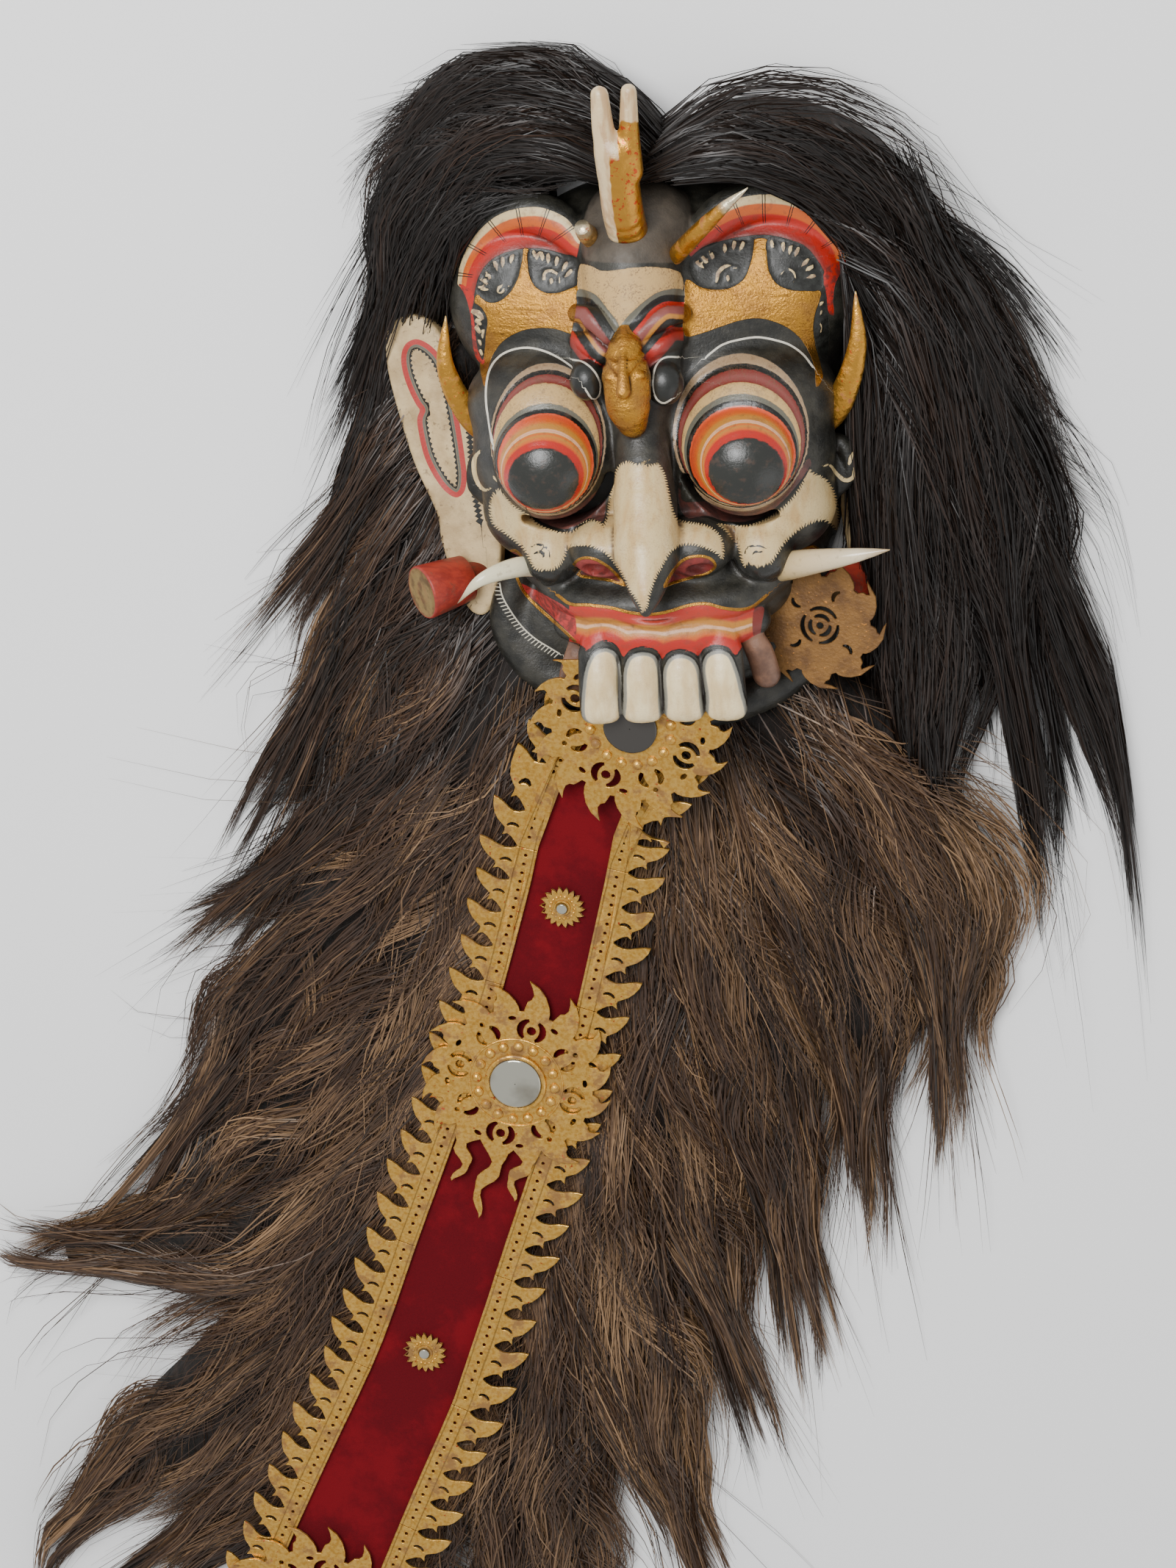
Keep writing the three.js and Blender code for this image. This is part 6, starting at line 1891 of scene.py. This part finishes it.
# Hair
HAIR = {
    "hair_middle": [
        ([[-14, -176, 40], [-60, -300, 40], [-108, -430, 40], [-160, -560, 38], [-196, -660, 26]],
         [40, 60, 66, 66, 24]),
        ([[-150, -540, 38], [-206, -660, 38], [-262, -770, 34], [-310, -880, 12]], [50, 64, 64, 12]),
        ([[-110, -560, 38], [-134, -680, 36], [-150, -790, 26], [-156, -890, 10]], [34, 46, 42, 6]),
    ],
    "hair_right": [
        ([[60, -156, 44], [112, -216, 46], [150, -300, 36], [154, -404, 14]], [34, 48, 42, 8]),
        ([[36, -168, 46], [70, -272, 46], [94, -352, 36], [96, -458, 14]], [32, 50, 44, 8]),
        ([[0, -196, 44], [14, -316, 42], [34, -430, 34], [48, -556, 14]], [28, 44, 42, 8]),
        ([[-30, -260, 40], [-42, -376, 40], [-24, -490, 36], [2, -612, 14]], [24, 44, 44, 8]),
        ([[-66, -400, 40], [-78, -520, 40], [-66, -640, 32], [-44, -762, 12]], [22, 44, 44, 8]),
    ],
    "hair_lower_left": [
        ([[-92, -140, 40], [-150, -222, 44], [-222, -304, 36], [-298, -388, 26], [-364, -468, 12]],
         [26, 42, 44, 34, 6]),
        ([[-84, -168, 44], [-138, -270, 46], [-212, -378, 40], [-300, -466, 32], [-404, -536, 14]],
         [26, 44, 48, 40, 6]),
        ([[-90, -222, 44], [-146, -340, 46], [-222, -452, 42], [-318, -536, 36], [-448, -548, 22]],
         [22, 40, 48, 38, 12]),
        ([[-128, -340, 42], [-188, -452, 42], [-250, -556, 38], [-330, -640, 30], [-486, -768, 10]],
         [22, 40, 48, 42, 6]),
        ([[-168, -470, 40], [-232, -590, 40], [-300, -690, 32], [-404, -790, 12]], [22, 44, 46, 6]),
    ],
    "hair_left": [
        ([[-122, 62, 24], [-166, 4, 26], [-204, -44, 10]], [20, 28, 8]),
        ([[-118, 10, 26], [-160, -58, 30], [-206, -118, 20], [-246, -184, 10]], [24, 32, 24, 5]),
        ([[-110, -54, 30], [-156, -118, 34], [-204, -192, 24], [-252, -266, 12]], [28, 36, 30, 6]),
        ([[-104, -100, 32], [-158, -172, 38], [-216, -232, 28], [-276, -282, 12]], [26, 36, 32, 6]),
    ],
    "crown_hair_right": [
        ([[6, 168, 78], [52, 182, 86], [96, 172, 74], [140, 132, 58], [172, 72, 40]], [14, 26, 32, 32, 26]),
        ([[92, 140, 58], [146, 104, 60], [180, 20, 52], [196, -72, 42], [206, -156, 14]], [22, 36, 38, 36,
            8]),
        ([[118, 108, 50], [142, 44, 52], [150, -44, 56], [152, -140, 50], [150, -232, 26]], [16, 28, 32, 34,
            12]),
        ([[168, 60, 38], [206, -22, 30], [226, -90, 22], [244, -146, 12]], [16, 16, 12, 4]),
        ([[112, 100, 54], [119, 44, 46], [121, -24, 40], [124, -78, 34]], [10, 12, 12, 12]),
    ],
    "crown_hair_left": [
        ([[-8, 168, 84], [-48, 186, 84], [-98, 180, 62], [-138, 144, 44], [-158, 96, 30]], [14, 30, 34, 30,
            12]),
        ([[-60, 150, 66], [-104, 146, 58], [-134, 112, 40], [-158, 64, 24], [-178, 12, 14]], [18, 30, 26, 20,
            8]),
        ([[10, 176, 70], [-24, 208, 70], [-84, 218, 52], [-128, 190, 34], [-156, 134, 14]], [12, 20, 22, 16,
            6]),
    ],
}
# tufts, hairs in each, length, how far they spread outwards, shade
STYLE = {
    "hair_middle": (200, 70, 105, 0.55, 0.55),
    "hair_right": (230, 64, 120, 0.45, 0.62),
    "hair_lower_left": (240, 62, 120, 0.55, 0.55),
    "hair_left": (120, 62, 105, 0.5, 0.32),
    "crown_hair_right": (170, 70, 170, 0.3, 0.12),
    "crown_hair_left": (110, 66, 120, 0.3, 0.08),
}
HAIRLINE = np.array([[0, 162], [-46, 160], [-88, 150], [-112, 126], [-120, 92], [-114, 40], [-116, -12],
    [-108, -70], [-112, -108], [-92, -146], [-52, -168], [0, -172], [52, -166], [88, -140], [100, -108],
    [98, -70], [108, -12], [112, 40], [118, 96], [110, 128], [86, 150], [46, 160]], float)
EAR_CLEAR = np.array(EAR_OUTLINE, float)
HAIR_UNDER_EAR = 18
HAIR_UNDER_TONGUE = 7
LOOSE_HAIR, LOOSE_HAIR_EASE = 20, 60  # how far loose hair goes past the solids
HAIR_TOP = 140
LOCK_STEPS, BASE_STEPS, BASE_SIDES = 80, 34, 16
HAIR_LIMIT_LOW = (np.array(CAD_BOX[0]) - SHIFT) * 1000
HAIR_LIMIT_HIGH = (np.array(CAD_BOX[1]) - SHIFT) * 1000


def under_what_lies_on_it(points):
    """Keeps hair off the ground and below the tongue and the left ear, no higher than HAIR_TOP, and eases it
    back inside the solids' box.
    """
    flat = points.reshape(-1, 3)
    z = np.maximum(flat[:, 2], 0.5)
    centre = ROUTE[::10, :2]
    gap = np.full(len(flat), 1e9)
    where = np.zeros(len(flat))
    level = np.zeros(len(flat))
    for place, at, height in zip(centre, ROUTE_AT[::10], ROUTE[::10, 2]):
        d = np.hypot(flat[:, 0] - place[0], flat[:, 1] - place[1])
        new = d < gap
        gap = np.where(new, d, gap)
        where = np.where(new, at, where)
        level = np.where(new, height, level)
    edge = half_width(where) + BORDER_WIDTH + 14
    cap = np.where(gap < edge, level - HAIR_UNDER_TONGUE, np.where(gap < edge + 26,
                                                                   level - HAIR_UNDER_TONGUE + (gap - edge) *
                                                                   0.6, 1e3))
    z = np.minimum(z, cap)
    ear = inside(flat[:, :2], EAR_CLEAR)
    z = np.where(ear, np.minimum(z, HAIR_UNDER_EAR), z)
    out = flat.copy()
    out[:, 2] = z
    for axis in (0, 1):
        past = out[:, axis] - HAIR_LIMIT_HIGH[axis]
        out[:, axis] = np.where(past > 0, HAIR_LIMIT_HIGH[axis] + LOOSE_HAIR * np.tanh(past /
            LOOSE_HAIR_EASE), out[:, axis])
        past = HAIR_LIMIT_LOW[axis] - out[:, axis]
        out[:, axis] = np.where(past > 0, HAIR_LIMIT_LOW[axis] - LOOSE_HAIR * np.tanh(past /
            LOOSE_HAIR_EASE), out[:, axis])
    out[:, 2] = np.minimum(out[:, 2], HAIR_TOP)
    return out.reshape(points.shape)


def lock_frame(points, wide):
    """A lock as a line, its directions ahead and sideways, its half width and its length."""
    line = spread(smooth(points, 12), LOCK_STEPS)
    ahead = unit(np.gradient(line, axis=0))
    side = unit(np.cross(ahead, [0, 0, 1.0]))
    half = profile(wide, np.linspace(0, 1, LOCK_STEPS))
    length = np.linalg.norm(np.diff(line, axis=0), axis=1).sum()
    return line, ahead, side, half, length


def lock_place(lock, t, s, lift):
    """A place on a lock: t along it, s across it in half widths, lift above its surface."""
    line, ahead, side, half, length = lock
    c = np.clip(t, 0, 1) * (LOCK_STEPS - 1)
    numbers = np.arange(LOCK_STEPS)
    pick = lambda a: np.stack([np.interp(c, numbers, a[:, k]) for k in range(a.shape[1])], -1)
    p = pick(line)
    a = pick(ahead)
    n = pick(side)
    w = np.maximum(np.interp(c, numbers, half), 12)
    past = (t - np.clip(t, 0, 1)) * length
    top = p[..., 2]
    bulge = np.where(np.abs(s) < 1, 0.4 + 0.6 * np.sqrt(np.maximum(0, 1 - s * s)), np.maximum(0,
        0.4 * (1.7 - np.abs(s)) / 0.7))
    fall = np.clip(1 - np.abs(past) / 70, 0.1, 1)
    out = p + n * (s * w)[..., None]
    out[..., :2] += a[..., :2] * past[..., None]
    out[..., 2] = top * bulge * fall + lift
    return out


def ribbons(curves, widths, roll):
    """Thin flat hairs: curves is (hairs, steps, 3)."""
    ahead = np.gradient(curves, axis=1)
    ahead = unit(ahead, 1e-6)
    up = np.array([0, 0, 1.0]) + roll[:, None, None] * np.array([0.7, 0.5, 0.0])
    side = np.cross(ahead, up)
    side = unit(side, 1e-6)
    n, m, _ = curves.shape
    t = np.linspace(0, 1, m)
    taper = np.interp(t, [0, 0.15, 0.6, 1], [0.7, 1, 0.85, 0.12])
    off = side * (widths[:, None] * taper[None])[..., None] / 2
    verts = np.stack([curves - off, curves + off], 2).reshape(-1, 3)
    i, j = np.meshgrid(np.arange(n), np.arange(m - 1), indexing="ij")
    base = (i * m + j) * 2
    quads = np.stack([base, base + 1, base + 3, base + 2], -1).reshape(-1, 4)
    return verts, quads


def tufts_of(lock, count, hairs, long, fan, shade, steps, wild=0.0):
    """Bunches of hair that grow along a lock and lie over one another."""
    length = lock[4]
    curves, shades, widths = [], [], []
    t = np.linspace(0, 1, steps)
    for k in range(count):
        t0 = (k + rng.uniform(0, 1)) / count - 0.06
        s0 = rng.uniform(-0.92, 0.92)
        reach = long * rng.uniform(0.7, 1.25) / length
        drift = (s0 * fan + rng.normal(0, 0.5)) * (1.0 if rng.random() > wild else 2.0)
        bend = rng.normal(0, 0.34)
        lift = rng.uniform(-3, 5)
        arch = rng.uniform(2, 9)
        tone = np.clip(shade + rng.normal(0, 0.16), 0, 1)
        n = hairs
        spread_t = rng.normal(0, 0.5, n) * 12 / length
        spread_s = rng.normal(0, 0.16, n)
        tip_s = rng.normal(0, 0.10 + 0.12 * rng.random(), n)
        reach_n = reach * rng.uniform(0.72, 1.12, n)
        frizz = rng.normal(0, 0.05, n)
        phase = rng.uniform(0, 6.28, n)
        tt = t0 + spread_t[:, None] + reach_n[:, None] * t[None]
        ss = s0 + spread_s[:, None] * (1 - 0.5 * t) + (drift * t**1.4 + bend * np.sin(t * 3.0))[
            None] + tip_s[:, None] * t**2
        ss = ss + frizz[:, None] * np.sin(t * 7 + phase[:, None]) * 0.8
        zz = lift + arch * np.sin(math.pi * np.minimum(t * 1.15, 1))[None] + rng.normal(0, 2.2, n)[:, None]
        curves.append(lock_place(lock, tt, ss, zz))
        shades.append(np.clip(tone + rng.normal(0, 0.12, n), 0, 1))
        widths.append(rng.uniform(0.5, 1.1, n))
    return curves, shades, widths


def base_of(lock_points, wide):
    """The body of a lock below its strands, whose near-black colour is painted shade, as points, triangles
    and the points again.
    """
    line = spread(smooth([[x, y, z * 0.36] for x, y, z in lock_points], 12), BASE_STEPS)
    t = np.linspace(0, 1, BASE_STEPS)
    heights = profile([p[2] for p in lock_points], t) * 0.52
    half = profile(wide, t) * 0.9
    ahead = unit(np.gradient(line, axis=0))
    side = unit(np.cross(ahead, [0, 0, 1.0]))
    turns = full_turn(BASE_SIDES)
    ring = line[:, None] + side[:, None] * (half[:, None] * np.cos(turns))[..., None]
    ring[..., 2] += heights[:, None] * np.sin(turns)[None]
    verts, faces = capped(ring, line)
    verts = under_what_lies_on_it(verts)
    over = inside(verts[:, :2], HAIRLINE)
    verts[:, 2] = np.where(over, np.minimum(verts[:, 2], 12), verts[:, 2])
    return verts, faces, verts


hair_mat = {}
for key, dark, mid, light in (("crown", (0.005, 0.003, 0.002), (0.024, 0.012, 0.007), (0.10, 0.05, 0.026)),
                              ("lower", (0.008, 0.0045, 0.0025), (0.060, 0.030, 0.016), (0.28, 0.165,
                                  0.082))):
    s = Shader("hair_" + key)
    x, y, _ = s.parts(s.attribute("tone").outputs["Vector"])
    colour = s.ramp(x, [(0.0, dark), (0.5, mid), (1.0, light)])
    # Painted shade: each hair darkens towards its root, where it lies under the other hairs.
    colour = s.mix(s.span(y, 0.0, 0.35, 0.55, 0), colour, dark)
    hair_mat[key] = s.finish(colour, 0.42, 0.0, None, Specular_IOR_Level=0.45)
# Painted shade: the body of each lock is near black, standing in for the hair deep in the lock.
s = Shader("shaded_hair_base")
strands = s.noise(120, 5, 0.7, stretch=(1.6, 0.5, 1))
shaded_hair_base = s.finish(s.mix(s.span(strands, 0.35, 0.7), (0.004, 0.003, 0.002), (0.022, 0.013, 0.009)), 0.8,
                     0.0,
                     s.bump(strands, 0.8, 0.003))
STEPS = 6
FEWER = 0.66


def hair_piece(node, locks):
    """The strands of a bundle of locks, in tufts and loose, and the base below them."""
    count, hairs, long, fan, shade = STYLE[node]
    frames = [lock_frame(lock_points, wide) for lock_points, wide in locks]
    total = sum(f[4] for f in frames)
    curves, shades, widths = [], [], []
    for lock in frames:
        share = max(6, int(count * lock[4] / total))
        a, b, c = tufts_of(lock, share, int(hairs * FEWER) + 4, long, fan, shade, STEPS, 0.12)
        curves += a
        shades += b
        widths += c
    for lock in frames:
        loose = tufts_of(lock, 60, 3, long * 1.5, fan * 1.8, shade * 0.6, STEPS, 0.6)
        for bunch in loose[0]:
            bunch[..., 2] += 7 * np.sin(np.linspace(0, math.pi, STEPS))[None]
        curves += loose[0]
        shades += loose[1]
        widths += [0.7 * w for w in loose[2]]
    curves = np.vstack(curves)
    shades = np.concatenate(shades)
    widths = np.concatenate(widths)
    mid = curves[:, :, :2].reshape(-1, 2)
    over = inside(mid, HAIRLINE).reshape(curves.shape[:2])
    keep = (over.mean(1) < 0.12) & ~over[:, 2:].any(1)
    curves, shades, widths = curves[keep], shades[keep], widths[keep]
    curves = under_what_lies_on_it(curves)
    verts, quads = ribbons(curves, widths, rng.normal(0, 0.8, len(curves)))
    tone = np.zeros((len(verts), 3))
    tone[:, 0] = np.repeat(shades, STEPS * 2)
    tone[:, 1] = np.tile(np.repeat(np.linspace(0, 1, STEPS), 2), len(curves))
    mesh_piece(node + "_strands", verts, quads, [node], {"tone": tone},
               hair_mat["crown" if "crown" in node else "lower"])
    verts, faces, _ = joined([base_of(lock_points, wide) for lock_points, wide in locks])
    mesh_piece(node + "_base", verts, faces, [node], {}, shaded_hair_base)


for node, locks in HAIR.items():
    hair_piece(node, locks)


# Floor and light
def light(name, place, energy, size, aim=(0, -0.1, 0.05)):
    """A round lamp, size metres wide, turned to the mask."""
    data = bpy.data.lights.new(name, "AREA")
    data.energy = energy
    data.shape = "DISK"
    data.size = size
    made = bpy.data.objects.new(name, data)
    bpy.context.scene.collection.objects.link(made)
    made.location = place
    made.rotation_mode = "QUATERNION"
    made.rotation_quaternion = (Vector(aim) - Vector(place)).to_track_quat("-Z", "Y")
    return made


FLOOR_HALF, FLOOR_LEVEL = 6, -0.0005
SKY = 0.7
floor_data = bpy.data.meshes.new("floor")
corners = [(x * FLOOR_HALF, y * FLOOR_HALF, FLOOR_LEVEL) for x, y in ((-1, -1), (1, -1), (1, 1), (-1, 1))]
floor_data.from_pydata(corners, [], [(0, 1, 2, 3)])
floor = bpy.data.objects.new("floor", floor_data)
bpy.context.scene.collection.objects.link(floor)
s = Shader("floor")
floor_data.materials.append(s.finish((0.93, 0.93, 0.93), 0.9))
light("key", (-0.35, 1.2, 2.1), 62, 1.3)
light("fill", (1.9, -1.2, 1.2), 8, 2.0)
world = bpy.data.worlds.new("world")
world.use_nodes = True
world.node_tree.nodes["Background"].inputs[0].default_value = (1, 1, 1, 1)
world.node_tree.nodes["Background"].inputs[1].default_value = SKY
bpy.context.scene.world = world
